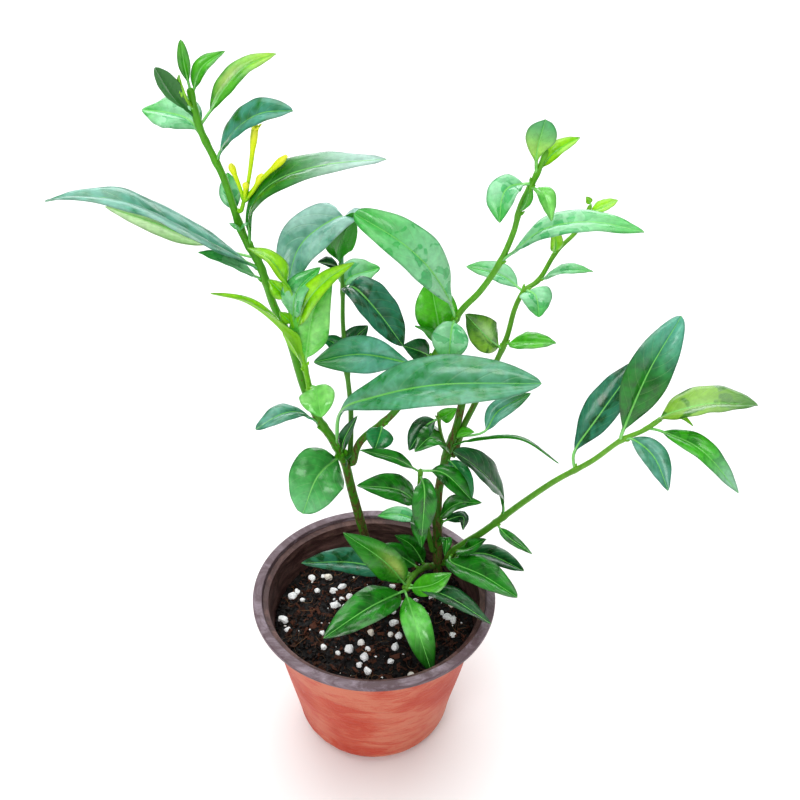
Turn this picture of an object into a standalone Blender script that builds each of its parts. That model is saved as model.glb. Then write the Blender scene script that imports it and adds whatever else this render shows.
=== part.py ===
"""Potted night-blooming jasmine: a young shrub in a 150 mm nursery pot.

Every size and place is given in millimetres and multiplied by MM once, when a mesh is made.
+Z is up, and the origin is the middle of the pot's flat underside. The plant has a left leader
and a thicker centre stem, which stand in plain holes in the soil. A lime shoot and a spray of
flowers sit on the left leader, and a low rosette and a long right branch sit on the centre stem.
"""

import math
import random
from typing import NamedTuple

import bmesh
import bpy
import numpy as np
from mathutils import Matrix, Vector

MM = 0.001
SEAT_GAP = 0.3
SEAT_RUN = 2.0

# Pot, thin blow-moulded plastic with a flat rolled rim
RIM_RADIUS = 75.0
RIM_WIDTH = 5.6
RIM_DEPTH = 3.0
POT_HEIGHT = 108.0
BODY_RADIUS_AT_BASE = 47.5
BODY_TAPER = 0.195
BODY_TOP = 100.0
WALL = 1.6
FLOOR = 2.2
BASE_CORNER = 14.0
INNER_STEP = 4.0
POT_SEGMENTS = 40
DRAIN_HOLES = 6
DRAIN_HOLE_RADIUS = 3.5
DRAIN_RING_RADIUS = 27.0

# Soil, with white perlite grains standing out of it
SOIL_TOP = 85.0
SOIL_CROWN = 1.5
SOIL_SEGMENTS = 32
HOLE_BOTTOM = 61.0
HOLE_CLEARANCE = 1.0
STEM_FOOT = 63.0
GRAIN_SIZES = (2.2, 1.7, 2.9, 1.9, 2.5)
STRAY_GRAINS = 10
GRAIN_SEED = 7

# Leaf blades
BLADE_THICKNESS = 0.7
STALK_HALF_WIDTH = 0.6
TIP_HALF_WIDTH = 0.3
BLADE_STATIONS = (0.0, 0.12, 0.31, 0.55, 0.8, 1.0)
SMALL_BLADE_STATIONS = (0.0, 0.2, 0.5, 0.8, 1.0)
SMALL_BLADE = 28.0
STEM_STEP = 14.0
WAVE_HEIGHT = 0.03

UP = (0.0, 0.0, 1.0)
TO_VIEW = (0.0, -0.8, 0.6)


class Stem(NamedTuple):
    """A tapering round stem. One with a carrier starts on its side, at a share of its length."""
    foot_radius: float
    tip_radius: float
    points: tuple
    carrier: str = None
    at: float = 0.0


class Leaf(NamedTuple):
    """One leaf: its root is at a share of its stem's length, and its rib runs through the points."""
    stem: str
    at: float
    rib: tuple
    width: float
    face: tuple = UP
    stalk: float = 6.0
    fold: float = 15.0
    peak: float = 0.42
    tip_face: tuple = None
    blunt: float = 0.35


STEMS = {
    # left plant: a tall leader that carries a crossing branch, a thin back branch and a lime shoot
    "leader": Stem(3.3, 1.5, (
        (-1, 42, STEM_FOOT), (-1, 42, 88), (-6, 40, 115), (-14, 36, 159), (-18, 33, 184),
        (-25, 31, 203), (-33, 28, 221), (-40, 25, 246), (-46, 21, 279), (-53, 18, 302),
        (-58, 15, 326), (-65, 12, 345), (-71, 9, 374), (-75, 8, 386), (-80, 7, 401), (-82, 5, 419))),
    "crossing": Stem(2.3, 1.2, (
        (-8, 32, 201), (12, 28, 226), (34, 20, 272), (44, 14, 299), (54, 10, 315), (62, 6, 333),
        (67, 3, 351), (69, 0, 367), (74, -4, 383), (77, -8, 397)), "leader", 0.33),
    "back": Stem(1.7, 1.1, (
        (-14, 39, 218), (-16, 44, 242), (-18, 50, 270), (-18, 55, 290), (-19, 58, 306)), "leader", 0.34),
    "lime": Stem(1.7, 1.1, (
        (-38, 18, 262), (-41, 11, 287), (-43, 8, 301), (-43, 5, 318)), "leader", 0.51),
    "flower_stalk": Stem(1.1, 0.9, ((-62, 6, 366),), "leader", 0.83),
    # centre plant: the trunk, a twig fused to it and the four shoots that it carries
    "trunk": Stem(3.3, 2.3, (
        (42, 29, STEM_FOOT), (42, 29, 88), (41, 31, 104), (40, 34, 136), (40, 37, 158), (44, 40, 184),
        (49, 42, 203), (52, 44, 221))),
    "twig": Stem(1.2, 0.9, ((44, 40, 186), (39, 34, 206), (37, 32, 222))),
    "upper": Stem(2.0, 1.1, (
        (53, 43, 202), (60, 46, 219), (75, 54, 254), (80, 58, 276), (85, 60, 287), (93, 61, 294),
        (101, 63, 310), (112, 66, 322), (118, 68, 336)), "trunk", 0.77),
    "front": Stem(1.8, 1.2, ((32, 26, 141), (27, 20, 167), (27, 16, 192)), "trunk", 0.33),
    "right": Stem(2.4, 1.2, (
        (52, 29, 115), (69, 24, 136), (88, 16, 165), (105, 8, 190), (122, 0, 211), (134, -8, 232),
        (144, -12, 242), (151, -17, 254)), "trunk", 0.25),
    "rosette": Stem(2.2, 1.6, ((32, 24, 104), (24, 12, 108), (19, 2, 106)), "trunk", 0.24),
}

LEADER_LEAVES = (
    # tuft at the leader's top
    Leaf("leader", 1.00, ((-83, 3, 430), (-83, 1, 441)), 5.5, (0.3, -1, 0.2), 2, 10, 0.5,
         None, 1.0),
    Leaf("leader", 0.99, ((-76, 6, 428), (-66, 10, 434)), 8, (-0.3, -0.7, 0.6), 3),
    Leaf("leader", 0.95, ((-74, 12, 408), (-68, 16, 416), (-59, 20, 424), (-45, 24, 429)), 12,
         (-0.5, -0.7, 0.7), 8, 12),
    Leaf("leader", 0.96, ((-88, 0, 417), (-94, -4, 431)), 11, (0.3, 0.9, -0.1), 6, 15, 0.5, None, 0.9),
    Leaf("leader", 0.97, ((-85, -2, 427),), 7, (-0.5, -0.7, 0.3), 3),
    Leaf("leader", 0.93, ((-85, 12, 402), (-95, 16, 404), (-108, 20, 404)), 23, (-0.1, -0.35, 1), 6, 8),
    # pair round the flowers
    Leaf("leader", 0.90, ((-70, 6, 392), (-61, 2, 403), (-50, -3, 411), (-36, -8, 414)), 17,
         (-0.7, -0.5, 0.9), 6, 15, 0.42, None, 0.9),
    Leaf("leader", 0.77, ((-59, 4, 362), (-46, -3, 379), (-24, -8, 389), (5, -10, 393)), 18,
         (0, -0.4, 0.9), 6, 8, 0.48),
    Leaf("leader", 0.80, ((-65, 1, 352),), 11, (0, -0.2, 1), 2, 25),
    Leaf("leader", 0.81, ((-72, 26, 371),), 11, (-0.2, -0.8, 0.6)),
    # long leaves that reach out to the left
    Leaf("leader", 0.73, ((-74, 10, 337), (-95, 5, 353), (-115, -1, 367), (-136, -5, 372),
                          (-152, -6, 370)), 27, (0, 0.0, 1), 6, 6, 0.42, None, 0.5),
    Leaf("leader", 0.75, ((-84, 28, 330), (-110, 32, 340), (-137, 36, 348)), 13,
         (0, -0.6, 0.8), 30, 12, 0.4),
    Leaf("leader", 0.71, ((-74, 8, 332), (-86, 4, 339)), 12, (0, -0.2, 1)),
    # lower leaves
    Leaf("leader", 0.42, ((-41, 20, 230), (-52, 12, 235), (-66, 6, 229)), 14, (0.1, -0.1, 1), 12, 8, 0.55,
         None, 0.9),
    Leaf("leader", 0.35, ((-33, 11, 191), (-42, 2, 170)), 33, (-0.2, -0.9, 0.5), 4, 6,
         0.42, None, 0.9),
    Leaf("leader", 0.35, ((-16, 22, 194),), 10, (0.5, -0.8, 0.2)),
    Leaf("leader", 0.37, ((-19, 14, 235), (-1, 4, 252), (34, -8, 269), (86, -14, 274)), 32,
         (0, -0.5, 0.87), 36, 20, 0.55, None, 0.7),
    Leaf("leader", 0.35, ((-10, 20, 228),), 8, (0, -0.6, 1)),
)

BACK_LEAVES = (
    Leaf("back", 0.94, ((-18, 57, 322), (-17, 52, 336), (-32, 44, 331), (-41, 36, 323), (-46, 26, 308)),
         28, (-0.1, 0.4, 0.9), 4, 10, 0.6, (-0.3, -0.9, 0.3), 0.6),
    Leaf("back", 0.99, ((-20, 50, 318), (-11, 46, 341)), 17, (0.1, 0.9, 0.1), 4),
    Leaf("back", 0.96, ((-31, 50, 310),), 9, (0, -0.4, 1), 2),
    Leaf("back", 0.86, ((-11, 46, 296), (2, 40, 284), (16, 34, 266)), 25, (0.3, -0.5, 0.9), 3, 18, 0.44,
         None, 0.8),
    Leaf("back", 0.86, ((-14, 62, 294), (3, 66, 298)), 19, (0, -0.5, 1), 3),
    Leaf("back", 0.47, ((-13, 50, 258), (-4, 56, 266)), 15, TO_VIEW),
    Leaf("back", 0.47, ((-22, 44, 260), (-30, 42, 266)), 12, TO_VIEW),
)

CROSSING_LEAVES = (
    Leaf("crossing", 0.17, ((0, 18, 205),), 17, (0, -1, 0.2), 3),
    Leaf("crossing", 0.37, ((14, 28, 260), (-9, 24, 267), (-33, 16, 267)), 22, (0, -1, 0.6), 6, 18, 0.54),
    Leaf("crossing", 0.41, ((15, 14, 279),), 14, (0.3, -0.6, 0.6), 3),
    Leaf("crossing", 0.54, ((37, 4, 314), (26, -3, 335), (11, -4, 350), (-10, 2, 361)), 25,
         (0.6, -0.8, 0.7), 12, 16, 0.54, None, 1.0),
    Leaf("crossing", 0.54, ((40, 8, 293), (39, 6, 274)), 20, (-0.2, -0.9, 0.5), 3, 10),
    Leaf("crossing", 0.46, ((29, 26, 312),), 23, (0, -1, 0.3), 3, 12, 0.5, None, 0.6),
    Leaf("crossing", 0.44, ((21, 10, 294),), 11, (0.2, 0.6, 0.8), 3),
    # top of the branch
    Leaf("crossing", 0.94, ((72, -12, 398), (74, -14, 413)), 14, (0, -1, 0.1), 3, 10, 0.74, None, 1.0),
    Leaf("crossing", 0.95, ((82, -4, 395), (93, 0, 400)), 9, (0, -0.4, 1), 2, 20),
    Leaf("crossing", 0.99, ((77, -10, 409),), 6, (0.6, -0.6, 0.3), 2),
    Leaf("crossing", 0.92, ((62, -7, 379), (58, -12, 375), (57, -18, 366)), 16, (-0.5, -0.6, 0.9), 4, 14),
    Leaf("crossing", 0.84, ((72, -3, 380),), 6, (0.5, -0.7, 0.3), 2),
    Leaf("crossing", 0.91, ((77, -12, 378), (81, -18, 367)), 10, (0.4, -0.7, 0.5), 3),
    Leaf("crossing", 0.72, ((70, 0, 345), (82, -4, 357), (102, -8, 362), (125, -16, 361)), 18,
         (0, -0.25, 1), 8, 5, 0.5),
)

LIME_LEAVES = (
    Leaf("lime", 0.25, ((-46, 4, 293), (-62, -4, 315), (-80, -8, 323)), 11, (-0.2, -0.1, 1), 6, 25),
    Leaf("lime", 0.86, ((-45, -2, 328), (-51, -1, 338), (-62, 3, 342)), 12, (0.2, -0.3, 1), 6, 22),
    Leaf("lime", 0.63, ((-34, -3, 315), (-23, -6, 330), (-10, -8, 340)), 12, (-0.5, -0.8, 0.5), 6, 12),
    Leaf("lime", 0.28, ((-32, 7, 302), (-22, 12, 322)), 21, (0, -1, 0.3), 6, 6),
    Leaf("lime", 0.91, ((-53, 6, 323),), 9, (-0.2, -0.8, 0.6), 2),
    Leaf("lime", 0.70, ((-49, 8, 303),), 6, TO_VIEW, 2),
    Leaf("lime", 0.06, ((-33, 15, 251), (-31, 8, 248), (-29, 1, 241)), 20, TO_VIEW, 8, 10, 0.38,
         None, 0.5),
    Leaf("lime", 0.70, ((-39, 0, 319), (-27, 4, 331)), 15, (-0.4, -0.8, 0.5), 6, 20),
)

UPPER_LEAVES = (
    Leaf("upper", 0.09, ((66, 42, 200), (75, 50, 210), (94, 54, 220)), 13, (-0.5, -0.7, 0.5), 16),
    Leaf("upper", 0.65, ((71, 66, 294), (52, 70, 297)), 15, (0, -0.4, 1), 4),
    Leaf("upper", 0.66, ((90, 50, 289), (92, 44, 279)), 19, (0.2, -0.7, 0.7), 3, 8, 0.36),
    Leaf("upper", 0.71, ((105, 54, 303), (120, 50, 305)), 12, (0, -0.1, 1), 3),
    Leaf("upper", 0.81, ((97, 56, 329),), 8, (0.2, -1, 0.2), 2),
    Leaf("upper", 0.97, ((125, 66, 336), (132, 66, 340)), 10, (0, -0.3, 1), 2),
    Leaf("upper", 1.00, ((115, 68, 341),), 4, (0, -0.8, 0.4), 1),
    Leaf("upper", 0.44, ((64, 49, 263), (51, 47, 279)), 20, (-0.3, -0.5, 0.8), 3, 10),
    Leaf("upper", 0.46, ((86, 45, 262), (102, 38, 266)), 15, (0, -0.3, 1), 3, 12, 0.4),
)

FRONT_LEAVES = (
    Leaf("front", 0.30, ((28, 18, 150), (29, 10, 135)), 12, (-0.2, -0.8, 0.5), 4),
    Leaf("front", 0.97, ((12, 10, 205), (-8, 4, 216)), 9, (0, -0.4, 1)),
    Leaf("front", 0.58, ((14, 14, 178), (-10, 4, 190)), 19, (0, -0.5, 1), 6, 12),
    Leaf("front", 0.66, ((8, 38, 166),), 11, TO_VIEW),
    Leaf("front", 0.35, ((16, 38, 137), (2, 40, 134)), 11, (0, -0.5, 1)),
    Leaf("front", 0.94, ((29, 4, 185), (28, -4, 157)), 15, (0, -1, 0.3), 3, 8),
    Leaf("front", 0.99, ((41, 12, 192), (57, 6, 177)), 13, (0.1, -0.6, 0.8)),
)

TRUNK_LEAVES = (
    Leaf("trunk", 0.75, ((51, 28, 180), (59, 22, 161)), 13, (0.3, -0.7, 0.5), 3),
    Leaf("trunk", 0.78, ((33, 22, 211), (23, 14, 207)), 20, (0, -0.5, 1), 4),
    Leaf("trunk", 0.80, ((60, 30, 204), (83, 12, 218), (104, 0, 210)), 11, (0, 0.6, 0.9), 14, 6),
    Leaf("trunk", 0.84, ((59, 34, 206),), 8, (0, -0.4, 1), 3),
    Leaf("trunk", 0.46, ((50, 22, 160), (64, 14, 168)), 13, (0, -0.5, 1), 4),
    Leaf("trunk", 0.44, ((54, 24, 148), (55, 20, 140)), 8, (0.3, -0.8, 0.5), 8),
    Leaf("trunk", 0.34, ((45, 22, 130), (44, 16, 122)), 8, (0.2, -0.8, 0.6), 2),
    Leaf("twig", 0.87, ((29, 28, 214), (20, 20, 203)), 14, (-0.3, -0.6, 0.8), 2),
    Leaf("twig", 0.84, ((47, 26, 229),), 9, TO_VIEW, 2),
)

RIGHT_LEAVES = (
    Leaf("right", 0.32, ((77, 18, 169), (66, 14, 188), (55, 12, 201), (45, 10, 210)), 22,
         (0.7, -0.3, 0.8), 9, 20, 0.56, None, 0.8),
    Leaf("right", 0.28, ((81, 8, 146), (95, -2, 141)), 7, (0, -0.4, 1), 5),
    Leaf("right", 0.65, ((114, 8, 212), (125, 14, 230), (147, 28, 260)), 22, (-0.8, -0.7, 0.5), 10, 16, 0.5,
         None, 0.5),
    Leaf("right", 0.85, ((134, -10, 241), (143, -6, 276), (157, 2, 305)), 24, (-0.15, -1, 0.5), 7, 12, 0.5,
         None, 0.8),
    Leaf("right", 0.86, ((140, -14, 237), (149, -24, 233), (155, -38, 222)), 15, (0, -0.6, 0.9), 5, 16),
    Leaf("right", 0.94, ((153, -20, 247), (169, -36, 247), (188, -48, 229)), 14, (0, -0.44, 1), 8, 18),
    Leaf("right", 0.97, ((153, -18, 257), (172, -22, 267), (194, -30, 272)), 25, (0, -0.05, 1), 4, 15, 0.42,
         None, 0.9),
    Leaf("right", 1.00, ((158, -22, 259), (165, -26, 256)), 5, UP, 3),
    Leaf("right", 0.04, ((71, 26, 114), (92, 2, 123)), 14, (-0.3, -0.2, 1), 8, 15, 0.42, None, 0.6),
    Leaf("right", 0.05, ((49, 14, 118), (66, -4, 125), (85, -22, 125)), 21, (-0.2, -0.15, 1), 5, 18, 0.52,
         None, 0.7),
    Leaf("right", 0.08, ((58, 16, 128), (68, 10, 142)), 12, (0, -0.5, 1), 4),
)

ROSETTE_LEAVES = (
    Leaf("rosette", 0.91, ((6, -4, 137), (-18, -8, 164)), 20, (-0.3, -0.5, 0.8), 4),
    Leaf("rosette", 1.00, ((-4, -24, 118), (-30, -38, 108)), 24, (-0.2, -0.5, 1), 4),
    Leaf("rosette", 1.00, ((25, -32, 112), (34, -50, 91)), 18, (0.1, -0.6, 0.9), 4, 12, 0.5, None, 0.5),
    Leaf("rosette", 0.96, ((35, -4, 117), (47, -2, 125)), 15, (0, -0.5, 1), 4),
    Leaf("rosette", 0.86, ((45, -14, 117), (68, -38, 120)), 16, (0.2, -0.1, 1)),
    Leaf("rosette", 0.20, ((24, 26, 121), (13, 24, 132)), 12, (-0.2, -0.6, 0.9), 3),
    Leaf("rosette", 0.70, ((-12, 12, 120), (-44, 0, 132)), 20, (0, -0.3, 1), 10),
    Leaf("rosette", 0.62, ((-2, 22, 113), (-19, 20, 113)), 12, (0, -0.4, 1), 10),
    Leaf("rosette", 0.36, ((15, 22, 117), (0, 22, 124)), 15, (0, -0.4, 1), 4),
)

# Flower spray: five tubes on a short stalk; radii run from the tube's foot to its mouth
FLOWER_TUBES = (
    ((-62, 6, 365), (-58, 3, 381), (-54, 1, 402)),
    ((-62, 6, 365), (-53, 0, 378), (-40, -5, 392)),
    ((-62, 6, 365), (-64, 5, 374), (-67, 5, 384)),
    ((-62, 6, 365), (-61, 3, 370), (-60, 2, 376)),
    ((-62, 6, 365), (-57, 2, 372), (-52, 0, 381)),
)
TUBE_RADII = (0.8, 0.9, 1.0, 1.5, 1.7, 0.8)
LOBE_LENGTH = 4.5
LOBE_WIDTH = 2.6
LOBES = 5

# Perlite grains that the front view shows, as places on the soil
GRAIN_PLACES = (
    (-41, 32), (-34, 33), (-30, 32), (-37, 22), (-53, 16), (-50, 20), (-46, 13), (-57, -4), (-54, -12),
    (-26, 21), (-21, 24), (-21, 13), (-25, 7), (-19, 6), (-16, 14), (-2, -15), (12, 1), (12, -8),
    (10, -17), (15, -19), (-8, -24), (-4, -28), (-6, -34), (-9, -40), (-4, -45), (10, -37), (22, -46),
    (46, -3), (43, 1), (50, -5), (49, -16), (52, 17), (47, 20), (33, -1), (18, 8), (26, 11),
)


def clear_scene():
    """Remove every object that is already in the file."""
    for item in list(bpy.data.objects):
        bpy.data.objects.remove(item, do_unlink=True)


def new_collection(name):
    """Add a collection to the scene."""
    made = bpy.data.collections.new(name)
    bpy.context.scene.collection.children.link(made)
    return made


def material(name, rgb, roughness):
    """A Principled material with one colour, in linear values."""
    made = bpy.data.materials.new(name)
    made.use_nodes = True
    shader = made.node_tree.nodes["Principled BSDF"]
    shader.inputs["Base Color"].default_value = (*rgb, 1.0)
    shader.inputs["Roughness"].default_value = roughness
    shader.inputs["Metallic"].default_value = 0.0
    made.diffuse_color = (*rgb, 1.0)
    return made


def unit(vectors):
    """Scale vectors to length one."""
    return vectors / np.linalg.norm(vectors, axis=-1, keepdims=True)


def smooth_path(points, count):
    """A Catmull-Rom curve through the points, read at count places evenly along its length."""
    p = np.array(points, float)
    p = np.vstack([2 * p[0] - p[1], p, 2 * p[-1] - p[-2]])
    u = np.linspace(0, 1, 16, endpoint=False)[:, None]
    spans = []
    for a, b, c, d in zip(p, p[1:], p[2:], p[3:]):
        ease = u * (c - a) + u**2 * (2 * a - 5 * b + 4 * c - d) + u**3 * (3 * (b - c) + d - a)
        spans.append(b + 0.5 * ease)
    dense = np.vstack(spans + [p[-2:-1]])
    run = np.r_[0, np.cumsum(np.linalg.norm(np.diff(dense, axis=0), axis=1))]
    at = np.linspace(0, run[-1], count)
    return np.stack([np.interp(at, run, dense[:, k]) for k in range(3)], 1), run[-1]


def stem_points(name):
    """A stem's points. A carried one starts a hair off its carrier's side and leaves it squarely."""
    stem = STEMS[name]
    if stem.carrier is None:
        return stem.points
    carrier = STEMS[stem.carrier]
    line, _ = smooth_path(stem_points(stem.carrier), 101)
    number = round(stem.at * 100)
    along = unit(line[number + 1] - line[number - 1])
    toward = np.array(stem.points[0], float) - line[number]
    out = unit(toward - along * (toward @ along))
    radius = carrier.foot_radius + (carrier.tip_radius - carrier.foot_radius) * stem.at
    seat = line[number] + out * (radius + SEAT_GAP)
    return (seat, seat + out * SEAT_RUN, *stem.points)


def on_stem(name, share):
    """The point of a stem's centre line at a share of its length."""
    line, _ = smooth_path(stem_points(name), 101)
    return line[round(share * 100)]


def half_width(u, peak, blunt):
    """A leaf's half width, as a share of its widest, at shares u of the blade.

    It follows a sine that is bent to peak where the leaf does. A sharp tip is drawn out to a point, and
    a blunt one is rounded. The base always narrows into the petiole.
    """
    bend = math.log(0.5) / math.log(peak)
    u = np.clip(u, 1e-6, 1)
    arch = np.clip(np.sin(np.pi * u**bend), 0, 1)
    base = arch**1.15
    far = u**bend > 0.5
    sharp = np.where(far, arch**0.85 * (1 - 0.28 * np.clip((u - 0.72) / 0.25, 0, 1) ** 1.5), base)
    rounded = np.where(far, arch**0.52, base)
    return (sharp + (rounded - sharp) * blunt) * (1 - np.exp(-u / 0.03))


def rib_points(leaf):
    """The rib's points; a leaf with one point gets a slight arch towards its face."""
    root = on_stem(leaf.stem, leaf.at)
    points = [root, *[np.array(p, float) for p in leaf.rib]]
    if len(points) == 2:
        chord = points[1] - root
        face = unit(np.array(leaf.face, float))
        rise = unit(face - chord * (face @ chord) / (chord @ chord))
        points.insert(1, root + 0.5 * chord + 0.1 * np.linalg.norm(chord) * rise)
    return points


def leaf_surface(leaf, number):
    """Rows of three points, left edge, rib and right edge, from the stem's middle to the tip."""
    dense, length = smooth_path(rib_points(leaf), 61)
    blade = length - leaf.stalk
    shares = SMALL_BLADE_STATIONS if blade < SMALL_BLADE else BLADE_STATIONS
    stations = np.r_[0.0, leaf.stalk + blade * np.array(shares)]
    run = np.linspace(0, length, 61)
    rib = np.stack([np.interp(stations, run, dense[:, k]) for k in range(3)], 1)
    slope = np.gradient(dense, axis=0)
    tangent = unit(np.stack([np.interp(stations, run, slope[:, k]) for k in range(3)], 1))
    share = (stations / length)[:, None]
    face = unit(np.array(leaf.face, float))
    tip_face = face if leaf.tip_face is None else unit(np.array(leaf.tip_face, float))
    side = unit(np.cross(tangent, face * (1 - share) + tip_face * share))
    normal = np.cross(side, tangent)
    u = (stations - leaf.stalk) / blade
    width = leaf.width / 2 * half_width(u, leaf.peak, leaf.blunt)
    width = np.maximum(width, np.where(u > 0.5, TIP_HALF_WIDTH, STALK_HALF_WIDTH))
    fold = math.radians(leaf.fold)
    out = side * (width * math.cos(fold))[:, None]
    lift = normal * (width * math.sin(fold))[:, None]
    ripple = WAVE_HEIGHT * leaf.width * np.sin(2 * np.pi * (1.6 * u + 0.37 * number))
    wave = normal * (ripple * np.clip(u, 0, 1) * (width > 1.0))[:, None]
    return np.stack([rib - out + lift + wave, rib, rib + out + lift - wave], 1)


def mesh_object(name, verts, faces):
    """An object from points in millimetres and faces."""
    mesh = bpy.data.meshes.new(name)
    mesh.from_pydata([tuple(v) for v in np.asarray(verts) * MM], [], faces)
    mesh.update()
    made = bpy.data.objects.new(name, mesh)
    bpy.context.scene.collection.objects.link(made)
    return made


def frozen(item):
    """Replace an object's mesh or curve by its evaluated mesh, with loose caps welded."""
    graph = bpy.context.evaluated_depsgraph_get()
    mesh = bpy.data.meshes.new_from_object(item.evaluated_get(graph))
    made = bpy.data.objects.new(item.name + "_solid", mesh)
    bpy.context.scene.collection.objects.link(made)
    made.matrix_world = item.matrix_world.copy()
    bpy.data.objects.remove(item, do_unlink=True)
    work = bmesh.new()
    work.from_mesh(mesh)
    bmesh.ops.remove_doubles(work, verts=work.verts, dist=0.01 * MM)
    bmesh.ops.recalc_face_normals(work, faces=work.faces)
    work.to_mesh(mesh)
    work.free()
    return made


def leaf_solid(leaf, number):
    """An open blade of triangles, split alike on both faces by Solidify."""
    rows = leaf_surface(leaf, number)
    faces = []
    for row in range(len(rows) - 1):
        for column in range(2):
            a = 3 * row + column
            b = a + 3
            if column == 0:
                faces += [(a, a + 1, b), (a + 1, b + 1, b)]
            else:
                faces += [(a, a + 1, b + 1), (a, b + 1, b)]
    made = mesh_object("leaf", rows.reshape(-1, 3), faces)
    shell = made.modifiers.new("Thickness", "SOLIDIFY")
    shell.thickness = BLADE_THICKNESS * MM
    shell.offset = 0.0
    return frozen(made)


def tube(points, radii, sides=2):
    """A round tube of changing radius along points, as a bevelled curve with filled caps."""
    data = bpy.data.curves.new("tube", "CURVE")
    data.dimensions = "3D"
    data.bevel_depth = MM
    data.bevel_resolution = sides
    data.use_fill_caps = True
    line = data.splines.new("POLY")
    line.points.add(len(points) - 1)
    for place, point, radius in zip(line.points, points, radii):
        place.co = (*(np.array(point) * MM), 1.0)
        place.radius = radius
    made = bpy.data.objects.new("tube", data)
    bpy.context.scene.collection.objects.link(made)
    return frozen(made)


def stem_solid(name):
    """A tapering stem, read from a smooth curve a few diameters apart."""
    stem = STEMS[name]
    points = stem_points(name)
    _, length = smooth_path(points, 3)
    count = max(5, round(length / STEM_STEP))
    line, _ = smooth_path(points, count)
    if stem.carrier is not None:
        line = np.vstack([line[:1], points[1], line[1:]])
    radii = np.linspace(stem.foot_radius, stem.tip_radius, len(line))
    return tube(line, radii)


def triangulate_closed(work):
    """Split all faces into triangles. A diagonal that would repeat an edge gets that edge halved first."""
    for _ in range(8):
        trial = work.copy()
        bmesh.ops.triangulate(trial, faces=trial.faces)
        trial.verts.index_update()
        twice = [tuple(v.index for v in edge.verts) for edge in trial.edges if not edge.is_manifold]
        trial.free()
        if not twice:
            break
        work.verts.ensure_lookup_table()
        pairs = [(work.verts[a], work.verts[b]) for a, b in twice]
        shared = set()
        for first, second in pairs:
            edge = work.edges.get((first, second))
            if edge is None:
                faces = set(first.link_faces) & set(second.link_faces)
                shared.add(min(faces, key=lambda face: len(face.verts)))
            else:
                bmesh.utils.edge_split(edge, edge.verts[0], 0.5)
        if shared:
            bmesh.ops.triangulate(work, faces=list(shared), ngon_method="EAR_CLIP")
    bmesh.ops.triangulate(work, faces=work.faces)


def largest_body(item):
    """Keep the outer body alone, so that sealed hollows are filled and loose scraps dropped."""
    work = bmesh.new()
    work.from_mesh(item.data)
    triangulate_closed(work)
    left = set(work.verts)
    bodies = []
    while left:
        seed = left.pop()
        body = {seed}
        front = [seed]
        while front:
            here = front.pop()
            for edge in here.link_edges:
                there = edge.other_vert(here)
                if there in left:
                    left.remove(there)
                    body.add(there)
                    front.append(there)
        bodies.append(body)
    main = max(bodies, key=len)
    spare = [v for v in work.verts if v not in main]
    bmesh.ops.delete(work, geom=spare, context="VERTS")
    work.to_mesh(item.data)
    work.free()


def joined(name, pieces, parts, finish, solver="MANIFOLD"):
    """One body from pieces that reach into each other, by one Boolean union on a collection."""
    host = pieces[0]
    repeats = new_collection(name + "_pieces")
    for piece in pieces[1:]:
        repeats.objects.link(piece)
    union = host.modifiers.new("Union", "BOOLEAN")
    union.operation = "UNION"
    union.operand_type = "COLLECTION"
    union.collection = repeats
    union.solver = solver
    graph = bpy.context.evaluated_depsgraph_get()
    mesh = bpy.data.meshes.new_from_object(host.evaluated_get(graph))
    made = bpy.data.objects.new(name, mesh)
    parts.objects.link(made)
    for piece in [host, *repeats.objects]:
        bpy.data.objects.remove(piece, do_unlink=True)
    bpy.data.collections.remove(repeats)
    largest_body(made)
    mesh.materials.clear()
    mesh.materials.append(finish)
    return made


def leafy_node(name, stems, leaves, parts, finish):
    """Stems and their leaves as one body."""
    pieces = [stem_solid(stem) for stem in stems]
    pieces += [leaf_solid(leaf, number) for number, leaf in enumerate(leaves)]
    return joined(name, pieces, parts, finish)


def arc(centre, radius, start, end, count):
    """Points of an arc in the profile's plane, angles in degrees."""
    angles = np.radians(np.linspace(start, end, count))
    return [(centre[0] + radius * math.cos(a), centre[1] + radius * math.sin(a)) for a in angles]


def turned(name, profile, segments):
    """A solid turned about Z from a profile that starts and ends on the axis."""
    verts = [(r, 0.0, z) for r, z in profile]
    item = mesh_object(name, verts, [])
    item.data.clear_geometry()
    item.data.from_pydata([tuple(v) for v in np.array(verts) * MM], [(i, i + 1) for i in range(len(verts) - 1)], [])
    screw = item.modifiers.new("Turn", "SCREW")
    screw.steps = segments
    screw.render_steps = segments
    screw.use_merge_vertices = True
    screw.merge_threshold = 0.00001
    return frozen(item)


def body_radius(z):
    """The pot's outer radius at height z."""
    return BODY_RADIUS_AT_BASE + BODY_TAPER * z


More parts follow.
